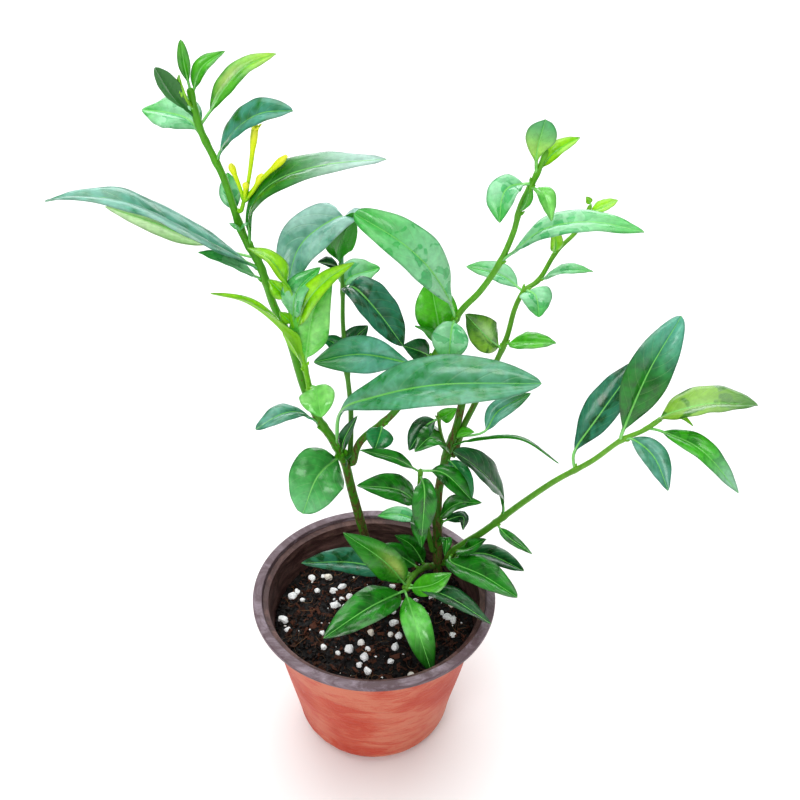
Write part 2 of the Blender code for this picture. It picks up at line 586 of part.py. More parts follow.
def pot_profile():
    """Up the inside, over the rolled rim and down the outside."""
    slope = math.degrees(math.atan(BODY_TAPER))
    outer_centre = (body_radius(BASE_CORNER) - BASE_CORNER, BASE_CORNER)
    inner_centre = (outer_centre[0], outer_centre[1] + 0.3)
    inner_corner = BASE_CORNER - FLOOR + 0.3
    lip_inner = RIM_RADIUS - RIM_WIDTH
    ledge = POT_HEIGHT - INNER_STEP
    inside = [(0, FLOOR)]
    inside += arc(inner_centre, inner_corner, -90, -slope, 5)
    inside += [(body_radius(ledge - 8) - WALL, ledge - 8), (body_radius(ledge) - WALL - 0.6, ledge)]
    inside += [(lip_inner - 0.6, ledge + 1.2), (lip_inner, POT_HEIGHT - 0.6)]
    rim = [(lip_inner + 0.8, POT_HEIGHT), (RIM_RADIUS - 0.9, POT_HEIGHT), (RIM_RADIUS, POT_HEIGHT - 0.9)]
    rim += [(RIM_RADIUS, POT_HEIGHT - RIM_DEPTH + 0.5), (RIM_RADIUS - 0.6, POT_HEIGHT - RIM_DEPTH)]
    rim += [(body_radius(BODY_TOP) + 2.2, POT_HEIGHT - RIM_DEPTH - 1.2)]
    outside = [(body_radius(BODY_TOP), BODY_TOP)]
    outside += arc(outer_centre, BASE_CORNER, -slope, -90, 7)
    return inside + rim + outside + [(0, 0)]


def build_pot(parts, cutters):
    """The pot: a thin turned shell with drain holes round its floor."""
    finish = material("pot_terracotta_plastic", (0.60, 0.125, 0.065), 0.5)
    pot = turned("pot", pot_profile(), POT_SEGMENTS)
    work = bmesh.new()
    for number in range(DRAIN_HOLES):
        turn = 2 * math.pi * (number + 0.5) / DRAIN_HOLES
        place = Vector((math.cos(turn), math.sin(turn), 0)) * DRAIN_RING_RADIUS * MM
        bmesh.ops.create_cone(work, cap_ends=True, segments=12, radius1=DRAIN_HOLE_RADIUS * MM,
                              radius2=DRAIN_HOLE_RADIUS * MM, depth=4 * FLOOR * MM,
                              matrix=Matrix.Translation(place))
    mesh = bpy.data.meshes.new("drain_hole_cutter")
    work.to_mesh(mesh)
    work.free()
    cutter = bpy.data.objects.new("drain_hole_cutter", mesh)
    cutters.objects.link(cutter)
    cutter.hide_render = True
    cutter.display_type = "WIRE"
    drill = pot.modifiers.new("Drain holes", "BOOLEAN")
    drill.object = cutter
    drill.operation = "DIFFERENCE"
    pot.name = "pot"
    pot.data.materials.append(finish)
    bpy.context.scene.collection.objects.unlink(pot)
    parts.objects.link(pot)
    pot.data.shade_smooth()
    pot.data.set_sharp_from_angle(angle=math.radians(35))


def grain(place, size, rng):
    """One angular perlite grain, sunk by about half in the soil."""
    work = bmesh.new()
    bmesh.ops.create_icosphere(work, subdivisions=1, radius=size * MM)
    for vert in work.verts:
        vert.co *= rng.uniform(0.8, 1.15)
    squash = Matrix.Diagonal((rng.uniform(0.9, 1.3), rng.uniform(0.8, 1.1), rng.uniform(0.75, 1.0), 1))
    turn = Matrix.Rotation(rng.uniform(0, math.tau), 4, "Z")
    height = soil_height(math.hypot(*place)) + 0.25 * size
    shift = Matrix.Translation(Vector((place[0], place[1], height)) * MM)
    work.transform(shift @ turn @ squash)
    mesh = bpy.data.meshes.new("grain")
    work.to_mesh(mesh)
    work.free()
    made = bpy.data.objects.new("grain", mesh)
    bpy.context.scene.collection.objects.link(made)
    return made


def soil_height(radius):
    """The soil's surface, a little crowned."""
    return SOIL_TOP + SOIL_CROWN * (1 - (radius / 62.0) ** 2)


def soil_profile():
    """The filling's outline, clear of the pot's floor and wall all the way."""
    lowest = FLOOR + SEAT_GAP
    wall = WALL + SEAT_GAP + 0.15
    top = [(r, soil_height(r)) for r in (0, 20, 38, 52)]
    corner = body_radius(BASE_CORNER) - BASE_CORNER
    side = [(body_radius(SOIL_TOP) - wall, SOIL_TOP), (body_radius(12) - wall - 0.4, 12)]
    return top + side + [(corner + 2.5, lowest + 2.0), (corner - 2.0, lowest), (0, lowest)]


def build_soil(parts):
    """The soil with its stem holes, and perlite grains fused to its surface."""
    finish = material("potting_soil", (0.028, 0.017, 0.014), 0.95)
    soil = turned("soil", soil_profile(), SOIL_SEGMENTS)
    rng = random.Random(GRAIN_SEED)
    places = list(GRAIN_PLACES)
    stem_feet = [STEMS[name].points[0][:2] for name in ("leader", "trunk")]
    while len(places) < len(GRAIN_PLACES) + STRAY_GRAINS:
        turn = rng.uniform(0, math.tau)
        spot = (56 * math.sqrt(rng.random()) * math.cos(turn), 56 * math.sqrt(rng.random()) * math.sin(turn))
        clear = all(math.dist(spot, foot) > 9 for foot in stem_feet)
        if clear and math.hypot(*spot) < 56 and all(math.dist(spot, other) > 7 for other in places):
            places.append(spot)
    grains = [grain(p, GRAIN_SIZES[n % len(GRAIN_SIZES)], rng) for n, p in enumerate(places)]
    soil = joined("soil_with_perlite", [soil, *grains], parts, finish)
    work = bmesh.new()
    for name in ("leader", "trunk"):
        foot = Vector((*STEMS[name].points[0][:2], 0))
        bottom = Vector((foot.x, foot.y, (HOLE_BOTTOM + SOIL_TOP + 10) / 2)) * MM
        radius = (STEMS[name].foot_radius + HOLE_CLEARANCE) * MM
        bmesh.ops.create_cone(work, cap_ends=True, segments=16, radius1=radius, radius2=radius,
                              depth=(SOIL_TOP + 10 - HOLE_BOTTOM) * MM, matrix=Matrix.Translation(bottom))
    mesh = bpy.data.meshes.new("stem_hole_cutter")
    work.to_mesh(mesh)
    work.free()
    cutter = bpy.data.objects.new("stem_hole_cutter", mesh)
    bpy.data.collections["cutters"].objects.link(cutter)
    cutter.hide_render = True
    cutter.display_type = "WIRE"
    drill = soil.modifiers.new("Stem holes", "BOOLEAN")
    drill.object = cutter
    drill.operation = "DIFFERENCE"


def flower_lobes(tip, direction):
    """Five narrow lobes that spread from a tube's mouth."""
    lobes = []
    axis = unit(np.array(direction, float))
    across = unit(np.cross(axis, (0.3, 0.9, 0.2)))
    third = np.cross(axis, across)
    for number in range(LOBES):
        turn = math.tau * number / LOBES
        out = across * math.cos(turn) + third * math.sin(turn)
        rows = []
        for share, half in ((0, 0.7), (0.35, LOBE_WIDTH / 2), (0.7, LOBE_WIDTH / 3), (1, 0.25)):
            middle = tip - axis * 1.2 + (axis * 0.8 + out * 0.6) * LOBE_LENGTH * share
            side = np.cross(axis, out) * half
            rows.append([middle - side, middle + side])
        verts = np.array(rows).reshape(-1, 3)
        faces = []
        for row in range(3):
            a = 2 * row
            faces += [(a, a + 1, a + 3), (a, a + 3, a + 2)]
        made = mesh_object("lobe", verts, faces)
        shell = made.modifiers.new("Thickness", "SOLIDIFY")
        shell.thickness = BLADE_THICKNESS * MM
        shell.offset = 0.0
        lobes.append(frozen(made))
    return lobes


def build_flowers(parts):
    """The spray of tube flowers and buds in a leaf's axil."""
    finish = material("flower_yellow", (0.75, 0.85, 0.05), 0.5)
    pieces = [stem_solid("flower_stalk")]
    for number, points in enumerate(FLOWER_TUBES):
        line, _ = smooth_path(points, len(TUBE_RADII))
        pieces.append(tube(line, TUBE_RADII))
        if number == 0:
            pieces += flower_lobes(line[-1], line[-1] - line[-2])
    joined("flower_spray", pieces, parts, finish)


def main():
    clear_scene()
    parts = new_collection("potted_night_blooming_jasmine")
    cutters = new_collection("cutters")
    green = material("mature_leaf_green", (0.045, 0.22, 0.055), 0.42)
    lime = material("young_leaf_lime", (0.23, 0.58, 0.035), 0.42)
    build_pot(parts, cutters)
    build_soil(parts)
    leafy_node("left_leader", ("leader",), LEADER_LEAVES, parts, green)
    leafy_node("crossing_branch", ("crossing",), CROSSING_LEAVES, parts, green)
    leafy_node("back_branch", ("back",), BACK_LEAVES, parts, green)
    leafy_node("lime_shoot", ("lime",), LIME_LEAVES, parts, lime)
    leafy_node("centre_stem", ("trunk", "twig"), TRUNK_LEAVES, parts, green)
    leafy_node("upper_branch", ("upper",), UPPER_LEAVES, parts, green)
    leafy_node("front_shoot", ("front",), FRONT_LEAVES, parts, green)
    leafy_node("right_branch", ("right",), RIGHT_LEAVES, parts, green)
    leafy_node("low_rosette", ("rosette",), ROSETTE_LEAVES, parts, green)
    build_flowers(parts)


main()
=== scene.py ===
"""Looks for the potted night-blooming jasmine: fine leaves, stems, flowers, pot, soil, light and camera.

Sizes and places are millimetres in the part's own frame and become metres once, when a mesh is made.
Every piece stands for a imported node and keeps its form. A leaf is a closed ring of points carried from
its petiole's foot to its tip, a stem is a circle carried along a path, and the pot is a turned profile.
"""

import math
import random
from functools import partial
from typing import NamedTuple

import bmesh
import bpy
import numpy as np
from mathutils import Matrix, Vector


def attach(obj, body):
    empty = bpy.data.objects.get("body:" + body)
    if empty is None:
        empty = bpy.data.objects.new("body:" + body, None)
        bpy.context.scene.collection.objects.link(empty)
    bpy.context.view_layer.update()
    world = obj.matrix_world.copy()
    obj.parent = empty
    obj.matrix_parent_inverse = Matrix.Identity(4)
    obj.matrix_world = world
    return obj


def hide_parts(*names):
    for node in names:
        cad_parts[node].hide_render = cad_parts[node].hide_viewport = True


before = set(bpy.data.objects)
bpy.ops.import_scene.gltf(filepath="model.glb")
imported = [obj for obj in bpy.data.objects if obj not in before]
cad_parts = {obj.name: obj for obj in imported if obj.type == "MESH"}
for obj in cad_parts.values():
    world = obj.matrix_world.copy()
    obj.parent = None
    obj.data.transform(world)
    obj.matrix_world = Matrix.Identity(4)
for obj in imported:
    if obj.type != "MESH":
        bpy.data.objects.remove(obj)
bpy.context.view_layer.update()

MM = 0.001
UP = (0.0, 0.0, 1.0)
TO_VIEW = (0.0, -0.8, 0.6)

# Pot, thin blow-moulded plastic with a flat rolled rim
RIM_RADIUS = 75.0
RIM_WIDTH = 5.6
RIM_DEPTH = 3.0
POT_HEIGHT = 108.0
BODY_RADIUS_AT_BASE = 47.5
BODY_TAPER = 0.195
BODY_TOP = 100.0
WALL = 1.6
FLOOR = 2.2
BASE_CORNER = 14.0
INNER_STEP = 4.0
OVAL = 0.3
DENT_DEPTH = 0.35
CRUMPLE_DEPTH = 1.1
CRUMPLE_ANGLE = 237
CRUMPLE_HEIGHT = 15
POT_SPOKES = 224
DRAIN_HOLES = 6
DRAIN_HOLE_RADIUS = 3.5
DRAIN_RING_RADIUS = 27.0

# Soil and what lies on it
SOIL_TOP = 85.0
SOIL_CROWN = 1.5
SOIL_REACH = 62.0
SOIL_EDGE_GAP = 2.05
SOIL_SPOKES = 256
SOIL_RINGS = 118
STEM_FOOT = 63.0
GRAIN_SIZES = (2.2, 1.7, 2.9, 1.9, 2.5)
STRAY_GRAINS = 10
STRAY_REACH = 56
GRAIN_SEED = 7
GRAIN_GAP = 7
GRAIN_FOOT_GAP = 9
GRAIN_BREAKS = 7
DUST_GRAINS = 70
DUST_REACH = 59.0
CRUMBS = 2600
CRUMB_REACH = 62.5
CHIPS = 1500
CHIP_REACH = 61.0
FIBRES = 150
FIBRE_REACH = 57.0
FIBRE_RINGS = 8

# Stems and leaves
SEAT_GAP = 0.3
SEAT_RUN = 2.0
STATIONS = 100
SPAN_STEPS = 16
STEM_SIDES = 18
RING_STEP = 1.1
NODE_SWELL = 0.16
NODE_LENGTH = 2.4
BUD_LIMIT = 0.93
BUD_SIDES = 8
RIB_STEPS = 241
ROW_STEP = 1.25
FEWEST_ROWS = 26
MOST_ROWS = 76
BLADE_THICKNESS = 0.42
CHANNEL_DEPTH = 0.32
VEIN_SWELL = 0.34
WAVE_HEIGHT = 0.03
FLUTTER_HEIGHT = 0.011
VEINS = 9
TIP_COLOUR_FROM = 0.45
TIP_COLOUR_FULL = 0.95
PATCH_WIDTH = 0.45
PATCH_STRENGTH = 0.8
NOISE_CELLS = 32
NOISE_START = 400


class Stem(NamedTuple):
    """A tapering round stem. One with a carrier starts on its side, at a share of its length.

    Its skin is green at the foot and tip, and thin bark covers a share of it at each end.
    """
    foot_radius: float
    tip_radius: float
    foot_green: str
    tip_green: str
    bark_at_foot: float
    bark_at_tip: float
    points: tuple
    carrier: str = None
    at: float = 0.0


class Leaf(NamedTuple):
    """One leaf: its root is at a share of its stem's length, and its rib runs through the points."""
    stem: str
    tone: str
    at: float
    rib: tuple
    width: float
    face: tuple = UP
    stalk: float = 6.0
    fold: float = 15.0
    peak: float = 0.42
    blunt: float = 0.35
    tip_face: tuple = None


class Tone(NamedTuple):
    """A leaf's colours outside a water film and under it, where the film darkens it. On the pale teal and
    grey tones the colour outside the film, and a pale tip, are painted sheen: the sky's glare painted into
    the leaf.

    patch is a paler or darker spot: its colour, its place along and across the blade, and its size.
    crisp is how sharply the film ends: 1 melts away over a centimetre and 10 has a drop's clear edge.
    """
    dry: str
    wet: str
    tip: str = None
    patch: tuple = None
    crisp: float = 1.0


class Body(NamedTuple):
    """Points in millimetres, faces as rows of point numbers, and the values that each point carries."""
    points: np.ndarray
    quads: np.ndarray
    triangles: np.ndarray
    marks: dict


STEMS = {
    # left plant: a tall leader that carries a crossing branch, a thin back branch and a lime shoot
    "leader": Stem(3.3, 1.5, "#4a8c16", "#5aa81e", 1.0, 0.15, (
        (-1, 42, STEM_FOOT), (-1, 42, 88), (-6, 40, 115), (-14, 36, 159), (-18, 33, 184),
        (-25, 31, 203), (-33, 28, 221), (-40, 25, 246), (-46, 21, 279), (-53, 18, 302),
        (-58, 15, 326), (-65, 12, 345), (-71, 9, 374), (-75, 8, 386), (-80, 7, 401), (-82, 5, 419))),
    "crossing": Stem(2.3, 1.2, "#4c8a22", "#68b028", 0.6, 0.1, (
        (-8, 32, 201), (12, 28, 226), (34, 20, 272), (44, 14, 299), (54, 10, 315), (62, 6, 333),
        (67, 3, 351), (69, 0, 367), (74, -4, 383), (77, -8, 397)), "leader", 0.33),
    "back": Stem(1.7, 1.1, "#4f8a2c", "#5f9a34", 0.2, 0.0, (
        (-14, 39, 218), (-16, 44, 242), (-18, 50, 270), (-18, 55, 290), (-19, 58, 306)), "leader", 0.34),
    "lime": Stem(1.7, 1.1, "#76bc22", "#90d428", 0.0, 0.0, (
        (-38, 18, 262), (-41, 11, 287), (-43, 8, 301), (-43, 5, 318)), "leader", 0.51),
    "flower_stalk": Stem(1.1, 0.9, "#84c820", "#a0d820", 0.0, 0.0, ((-62, 6, 366),), "leader", 0.83),
    # centre plant: the trunk, a twig fused to it and the four shoots that it carries
    "trunk": Stem(3.3, 2.3, "#3a6e18", "#4f8c22", 0.95, 0.5, (
        (42, 29, STEM_FOOT), (42, 29, 88), (41, 31, 104), (40, 34, 136), (40, 37, 158), (44, 40, 184),
        (49, 42, 203), (52, 44, 221))),
    "twig": Stem(1.2, 0.9, "#5a8a30", "#6a9a34", 0.3, 0.1,
        ((44, 40, 186), (39, 34, 206), (37, 32, 222))),
    "upper": Stem(2.0, 1.1, "#4c8226", "#74b430", 0.55, 0.1, (
        (53, 43, 202), (60, 46, 219), (75, 54, 254), (80, 58, 276), (85, 60, 287), (93, 61, 294),
        (101, 63, 310), (112, 66, 322), (118, 68, 336)), "trunk", 0.77),
    "front": Stem(1.8, 1.2, "#4f8a2c", "#6aa834", 0.2, 0.0,
        ((32, 26, 141), (27, 20, 167), (27, 16, 192)), "trunk", 0.33),
    "right": Stem(2.4, 1.2, "#4c8a22", "#74b038", 0.35, 0.0, (
        (52, 29, 115), (69, 24, 136), (88, 16, 165), (105, 8, 190), (122, 0, 211), (134, -8, 232),
        (144, -12, 242), (151, -17, 254)), "trunk", 0.25),
    "rosette": Stem(2.2, 1.6, "#4c7a2a", "#6aa834", 0.5, 0.1,
        ((32, 24, 104), (24, 12, 108), (19, 2, 106)), "trunk", 0.24),
}

# Each stem's leaves: tone, place along the stem, the rib's points, width, face, stalk, fold, peak,
# bluntness and the face at the tip
LEAF_ROWS = {
    "leader": (
        # tuft at the leader's top
        ("fresh", 1.0, ((-83, 3, 430), (-83, 1, 441)), 5.5, (0.3, -1, 0.2), 2, 10, 0.5, 1.0),
        ("fresh", 0.99, ((-76, 6, 428), (-66, 10, 434)), 8, (-0.3, -0.7, 0.6), 3),
        ("spring", 0.95, ((-74, 12, 408), (-68, 16, 416), (-59, 20, 424), (-45, 24, 429)), 12,
         (-0.5, -0.7, 0.7), 8, 12),
        ("dark", 0.96, ((-88, 0, 417), (-94, -4, 431)), 11, (0.3, 0.9, -0.1), 6, 15, 0.5, 0.9),
        ("lime", 0.97, ((-85, -2, 427),), 7, (-0.5, -0.7, 0.3), 3),
        ("mint", 0.93, ((-85, 12, 402), (-95, 16, 404), (-108, 20, 404)), 23, (-0.1, -0.35, 1), 6, 8),
        # pair round the flowers
        ("half_silvered", 0.9, ((-70, 6, 392), (-61, 2, 403), (-50, -3, 411), (-36, -8, 414)), 17,
         (-0.7, -0.5, 0.9), 6, 15, 0.42, 0.9),
        ("silver_tipped", 0.77, ((-59, 4, 362), (-46, -3, 379), (-24, -8, 389), (5, -10, 393)), 18,
         (0, -0.4, 0.9), 6, 8, 0.48),
        ("mint", 0.8, ((-65, 1, 352),), 11, (0, -0.2, 1), 2, 25),
        ("mint", 0.81, ((-72, 26, 371),), 11, (-0.2, -0.8, 0.6)),
        # long leaves that reach out to the left
        ("silvered", 0.73,
         ((-74, 10, 337), (-95, 5, 353), (-115, -1, 367), (-136, -5, 372), (-152, -6, 370)), 27, UP, 6, 6,
         0.42, 0.5),
        ("whitish", 0.75, ((-84, 28, 330), (-110, 32, 340), (-137, 36, 348)), 13, (0, -0.6, 0.8), 30, 12,
         0.4),
        ("mint", 0.71, ((-74, 8, 332), (-86, 4, 339)), 12, (0, -0.2, 1)),
        # lower leaves
        ("silvered", 0.42, ((-41, 20, 230), (-52, 12, 235), (-66, 6, 229)), 14, (0.1, -0.1, 1), 12, 8,
         0.55, 0.9),
        ("puckered", 0.35, ((-33, 11, 191), (-42, 2, 170)), 33, (-0.2, -0.9, 0.5), 4, 6, 0.42, 0.9),
        ("dark", 0.35, ((-16, 22, 194),), 10, (0.5, -0.8, 0.2)),
        ("sheeny", 0.37, ((-19, 14, 235), (-1, 4, 252), (34, -8, 269), (86, -14, 274)), 32,
         (0, -0.5, 0.87), 36, 20, 0.55, 0.7),
        ("dark", 0.35, ((-10, 20, 228),), 8, (0, -0.6, 1)),
    ),
    "back": (
        ("frosted", 0.94, ((-18, 57, 322), (-17, 52, 336), (-32, 44, 331), (-41, 36, 323), (-46, 26, 308)),
         28, (-0.1, 0.4, 0.9), 4, 10, 0.6, 0.6, (-0.3, -0.9, 0.3)),
        ("backlit", 0.99, ((-20, 50, 318), (-11, 46, 341)), 17, (0.1, 0.9, 0.1), 4),
        ("dark", 0.96, ((-31, 50, 310),), 9, (0, -0.4, 1), 2),
        ("dark_teal", 0.86, ((-11, 46, 296), (2, 40, 284), (16, 34, 266)), 25, (0.3, -0.5, 0.9), 3, 18,
         0.44, 0.8),
        ("mint", 0.86, ((-14, 62, 294), (3, 66, 298)), 19, (0, -0.5, 1), 3),
        ("dark", 0.47, ((-13, 50, 258), (-4, 56, 266)), 15, TO_VIEW),
        ("deep", 0.47, ((-22, 44, 260), (-30, 42, 266)), 12, TO_VIEW),
    ),
    "crossing": (
        ("deep", 0.17, ((0, 18, 205),), 17, (0, -1, 0.2), 3),
        ("green_tipped", 0.37, ((14, 28, 260), (-9, 24, 267), (-33, 16, 267)), 22, (0, -1, 0.6), 6, 18,
         0.54),
        ("dark", 0.41, ((15, 14, 279),), 14, (0.3, -0.6, 0.6), 3),
        ("mint", 0.54, ((37, 4, 314), (26, -3, 335), (11, -4, 350), (-10, 2, 361)), 25, (0.6, -0.8, 0.7),
         12, 16, 0.54, 1.0),
        ("mint", 0.54, ((40, 8, 293), (39, 6, 274)), 20, (-0.2, -0.9, 0.5), 3, 10),
        ("fresh", 0.46, ((29, 26, 312),), 23, (0, -1, 0.3), 3, 12, 0.5, 0.6),
        ("backlit", 0.44, ((21, 10, 294),), 11, (0.2, 0.6, 0.8), 3),
        # top of the branch
        ("sunlit", 0.94, ((72, -12, 398), (74, -14, 413)), 14, (0, -1, 0.1), 3, 10, 0.74, 1.0),
        ("lime", 0.95, ((82, -4, 395), (93, 0, 400)), 9, (0, -0.4, 1), 2, 20),
        ("lime", 0.99, ((77, -10, 409),), 6, (0.6, -0.6, 0.3), 2),
        ("mint", 0.92, ((62, -7, 379), (58, -12, 375), (57, -18, 366)), 16, (-0.5, -0.6, 0.9), 4, 14),
        ("fresh", 0.84, ((72, -3, 380),), 6, (0.5, -0.7, 0.3), 2),
        ("pale", 0.91, ((77, -12, 378), (81, -18, 367)), 10, (0.4, -0.7, 0.5), 3),
        ("mint", 0.72, ((70, 0, 345), (82, -4, 357), (102, -8, 362), (125, -16, 361)), 18, (0, -0.25, 1),
         8, 5, 0.5),
    ),
    "lime": (
        ("lime", 0.25, ((-46, 4, 293), (-62, -4, 315), (-80, -8, 323)), 11, (-0.2, -0.1, 1), 6, 25),
        ("lime", 0.86, ((-45, -2, 328), (-51, -1, 338), (-62, 3, 342)), 12, (0.2, -0.3, 1), 6, 22),
        ("lime", 0.63, ((-34, -3, 315), (-23, -6, 330), (-10, -8, 340)), 12, (-0.5, -0.8, 0.5), 6, 12),
        ("pale", 0.28, ((-32, 7, 302), (-22, 12, 322)), 21, (0, -1, 0.3), 6, 6),
        ("lime", 0.91, ((-53, 6, 323),), 9, (-0.2, -0.8, 0.6), 2),
        ("lime", 0.7, ((-49, 8, 303),), 6, TO_VIEW, 2),
        ("pale", 0.06, ((-33, 15, 251), (-31, 8, 248), (-29, 1, 241)), 20, TO_VIEW, 8, 10, 0.38, 0.5),
        ("mint", 0.7, ((-39, 0, 319), (-27, 4, 331)), 15, (-0.4, -0.8, 0.5), 6, 20),
    ),
    "upper": (
        ("green_tipped", 0.09, ((66, 42, 200), (75, 50, 210), (94, 54, 220)), 13, (-0.5, -0.7, 0.5), 16),
        ("mint", 0.65, ((71, 66, 294), (52, 70, 297)), 15, (0, -0.4, 1), 4),
        ("mint", 0.66, ((90, 50, 289), (92, 44, 279)), 19, (0.2, -0.7, 0.7), 3, 8, 0.36),
        ("mint", 0.71, ((105, 54, 303), (120, 50, 305)), 12, (0, -0.1, 1), 3),
        ("lime", 0.81, ((97, 56, 329),), 8, (0.2, -1, 0.2), 2),
        ("lime", 0.97, ((125, 66, 336), (132, 66, 340)), 10, (0, -0.3, 1), 2),
        ("lime", 1.0, ((115, 68, 341),), 4, (0, -0.8, 0.4), 1),
        ("mottled", 0.44, ((64, 49, 263), (51, 47, 279)), 20, (-0.3, -0.5, 0.8), 3, 10),
        ("fresh", 0.46, ((86, 45, 262), (102, 38, 266)), 15, (0, -0.3, 1), 3, 12, 0.4),
    ),
    "front": (
        ("green", 0.3, ((28, 18, 150), (29, 10, 135)), 12, (-0.2, -0.8, 0.5), 4),
        ("green", 0.97, ((12, 10, 205), (-8, 4, 216)), 9, (0, -0.4, 1)),
        ("green", 0.58, ((14, 14, 178), (-10, 4, 190)), 19, (0, -0.5, 1), 6, 12),
        ("dark", 0.66, ((8, 38, 166),), 11, TO_VIEW),
        ("mint", 0.35, ((16, 38, 137), (2, 40, 134)), 11, (0, -0.5, 1)),
        ("green", 0.94, ((29, 4, 185), (28, -4, 157)), 15, (0, -1, 0.3), 3, 8),
        ("green", 0.99, ((41, 12, 192), (57, 6, 177)), 13, (0.1, -0.6, 0.8)),
    ),
    "trunk": (
        ("deep", 0.75, ((51, 28, 180), (59, 22, 161)), 13, (0.3, -0.7, 0.5), 3),
        ("green", 0.78, ((33, 22, 211), (23, 14, 207)), 20, (0, -0.5, 1), 4),
        ("green", 0.8, ((60, 30, 204), (83, 12, 218), (104, 0, 210)), 11, (0, 0.6, 0.9), 14, 6),
        ("fresh", 0.84, ((59, 34, 206),), 8, (0, -0.4, 1), 3),
        ("green", 0.46, ((50, 22, 160), (64, 14, 168)), 13, (0, -0.5, 1), 4),
        ("dark", 0.44, ((54, 24, 148), (55, 20, 140)), 8, (0.3, -0.8, 0.5), 8),
        ("green", 0.34, ((45, 22, 130), (44, 16, 122)), 8, (0.2, -0.8, 0.6), 2),
    ),
    "twig": (
        ("dark", 0.87, ((29, 28, 214), (20, 20, 203)), 14, (-0.3, -0.6, 0.8), 2),
        ("fresh", 0.84, ((47, 26, 229),), 9, TO_VIEW, 2),
    ),
    "right": (
        ("dark", 0.32, ((77, 18, 169), (66, 14, 188), (55, 12, 201), (45, 10, 210)), 22, (0.7, -0.3, 0.8),
         9, 20, 0.56, 0.8),
        ("green", 0.28, ((81, 8, 146), (95, -2, 141)), 7, (0, -0.4, 1), 5),
        ("dark_teal", 0.65, ((114, 8, 212), (125, 14, 230), (147, 28, 260)), 22, (-0.8, -0.7, 0.5), 10, 16,
         0.5, 0.5),
        ("teal_tipped", 0.85, ((134, -10, 241), (143, -6, 276), (157, 2, 305)), 24, (-0.15, -1, 0.5), 7,
         12, 0.5, 0.8),
        ("silvered", 0.86, ((140, -14, 237), (149, -24, 233), (155, -38, 222)), 15, (0, -0.6, 0.9), 5, 16),
        ("fresh_to_silver", 0.94, ((153, -20, 247), (169, -36, 247), (188, -48, 229)), 14, (0, -0.44, 1),
         8, 18),
        ("mottled", 0.97, ((153, -18, 257), (172, -22, 267), (194, -30, 272)), 25, (0, -0.05, 1), 4, 15,
         0.42, 0.9),
        ("lime", 1.0, ((158, -22, 259), (165, -26, 256)), 5, UP, 3),
        ("dark", 0.04, ((71, 26, 114), (92, 2, 123)), 14, (-0.3, -0.2, 1), 8, 15, 0.42, 0.6),
        ("green", 0.05, ((49, 14, 118), (66, -4, 125), (85, -22, 125)), 21, (-0.2, -0.15, 1), 5, 18, 0.52,
         0.7),
        ("green", 0.08, ((58, 16, 128), (68, 10, 142)), 12, (0, -0.5, 1), 4),
    ),
    "rosette": (
        ("yellowed", 0.91, ((6, -4, 137), (-18, -8, 164)), 20, (-0.3, -0.5, 0.8), 4),
        ("green", 1.0, ((-4, -24, 118), (-30, -38, 108)), 24, (-0.2, -0.5, 1), 4),
        ("dark_tipped", 1.0, ((25, -32, 112), (34, -50, 91)), 18, (0.1, -0.6, 0.9), 4, 12, 0.5, 0.5),
        ("fresh", 0.96, ((35, -4, 117), (47, -2, 125)), 15, (0, -0.5, 1), 4),
        ("dark", 0.86, ((45, -14, 117), (68, -38, 120)), 16, (0.2, -0.1, 1)),
        ("green", 0.2, ((24, 26, 121), (13, 24, 132)), 12, (-0.2, -0.6, 0.9), 3),
        ("dark_teal", 0.7, ((-12, 12, 120), (-44, 0, 132)), 20, (0, -0.3, 1), 10),
        ("dark", 0.62, ((-2, 22, 113), (-19, 20, 113)), 12, (0, -0.4, 1), 10),
        ("green", 0.36, ((15, 22, 117), (0, 22, 124)), 15, (0, -0.4, 1), 4),
    ),
}
LEAVES = {stem: [Leaf(stem, *row) for row in rows] for stem, rows in LEAF_ROWS.items()}

TONES = {
    # Painted sheen: the pale teal and grey colours of sheeny, frosted, silvered, half_silvered and
    # dark_teal, the pale base of green_tipped and the pale tips of teal_tipped, silver_tipped and
    # fresh_to_silver stand for the sky's glare painted into the leaves.
    # backlit, and lime in part, paint light shining through thin leaves; lime is also the young leaves' own
    # colour.
    "deep": Tone("#24904e", "#146c28"),
    "sheeny": Tone("#62a884", "#2f8c4a"),
    "frosted": Tone("#86b8a8", "#5a9a84"),
    "silvered": Tone("#64a892", "#428a68"),
    "half_silvered": Tone("#4c9a80", "#22782a"),
    "teal_tipped": Tone("#208020", "#105c08", "#60b094"),
    "green_tipped": Tone("#6ab29a", "#469a72", "#2a8434"),
    "silver_tipped": Tone("#2c8614", "#1e7408", "#a6cabc"),
    "mint": Tone("#8cd09c", "#5ab874", "#4cb850", crisp=8.0),
    "whitish": Tone("#b4d89c", "#98c880"),
    "green": Tone("#1f8c12", "#0a5a04"),
    "puckered": Tone("#4aa84e", "#2c8030", "#64b872"),
    "fresh": Tone("#58bc22", "#3ca414"),
    "fresh_to_silver": Tone("#46b422", "#2a9414", "#98ccaa", crisp=3.0),
    "spring": Tone("#5cb828", "#2c9010", "#a4dc3c", ("#c8e084", 0.42, -0.35, 0.22)),
    "yellowed": Tone("#3c9c20", "#207c0c", "#2a8c1c", ("#d8e486", 0.3, 0.3, 0.26)),
    "dark_tipped": Tone("#5cc040", "#3ea824", "#1a5c14", ("#98e088", 0.5, 0.0, 0.2)),
    "lime": Tone("#9ce010", "#80d00a"),
    "sunlit": Tone("#a4dc5c", "#84cc3c", "#5cb06c"),
    "pale": Tone("#88da6c", "#60c44a"),
    "dark": Tone("#12602c", "#083c0e"),
    "dark_teal": Tone("#307a5e", "#14542c", crisp=2.0),
    "backlit": Tone("#1f9a08", "#148806"),
    "mottled": Tone("#7eb034", "#447e14", "#3a7a10", ("#b4dc98", 0.45, 0.2, 0.25), 3.5),
}

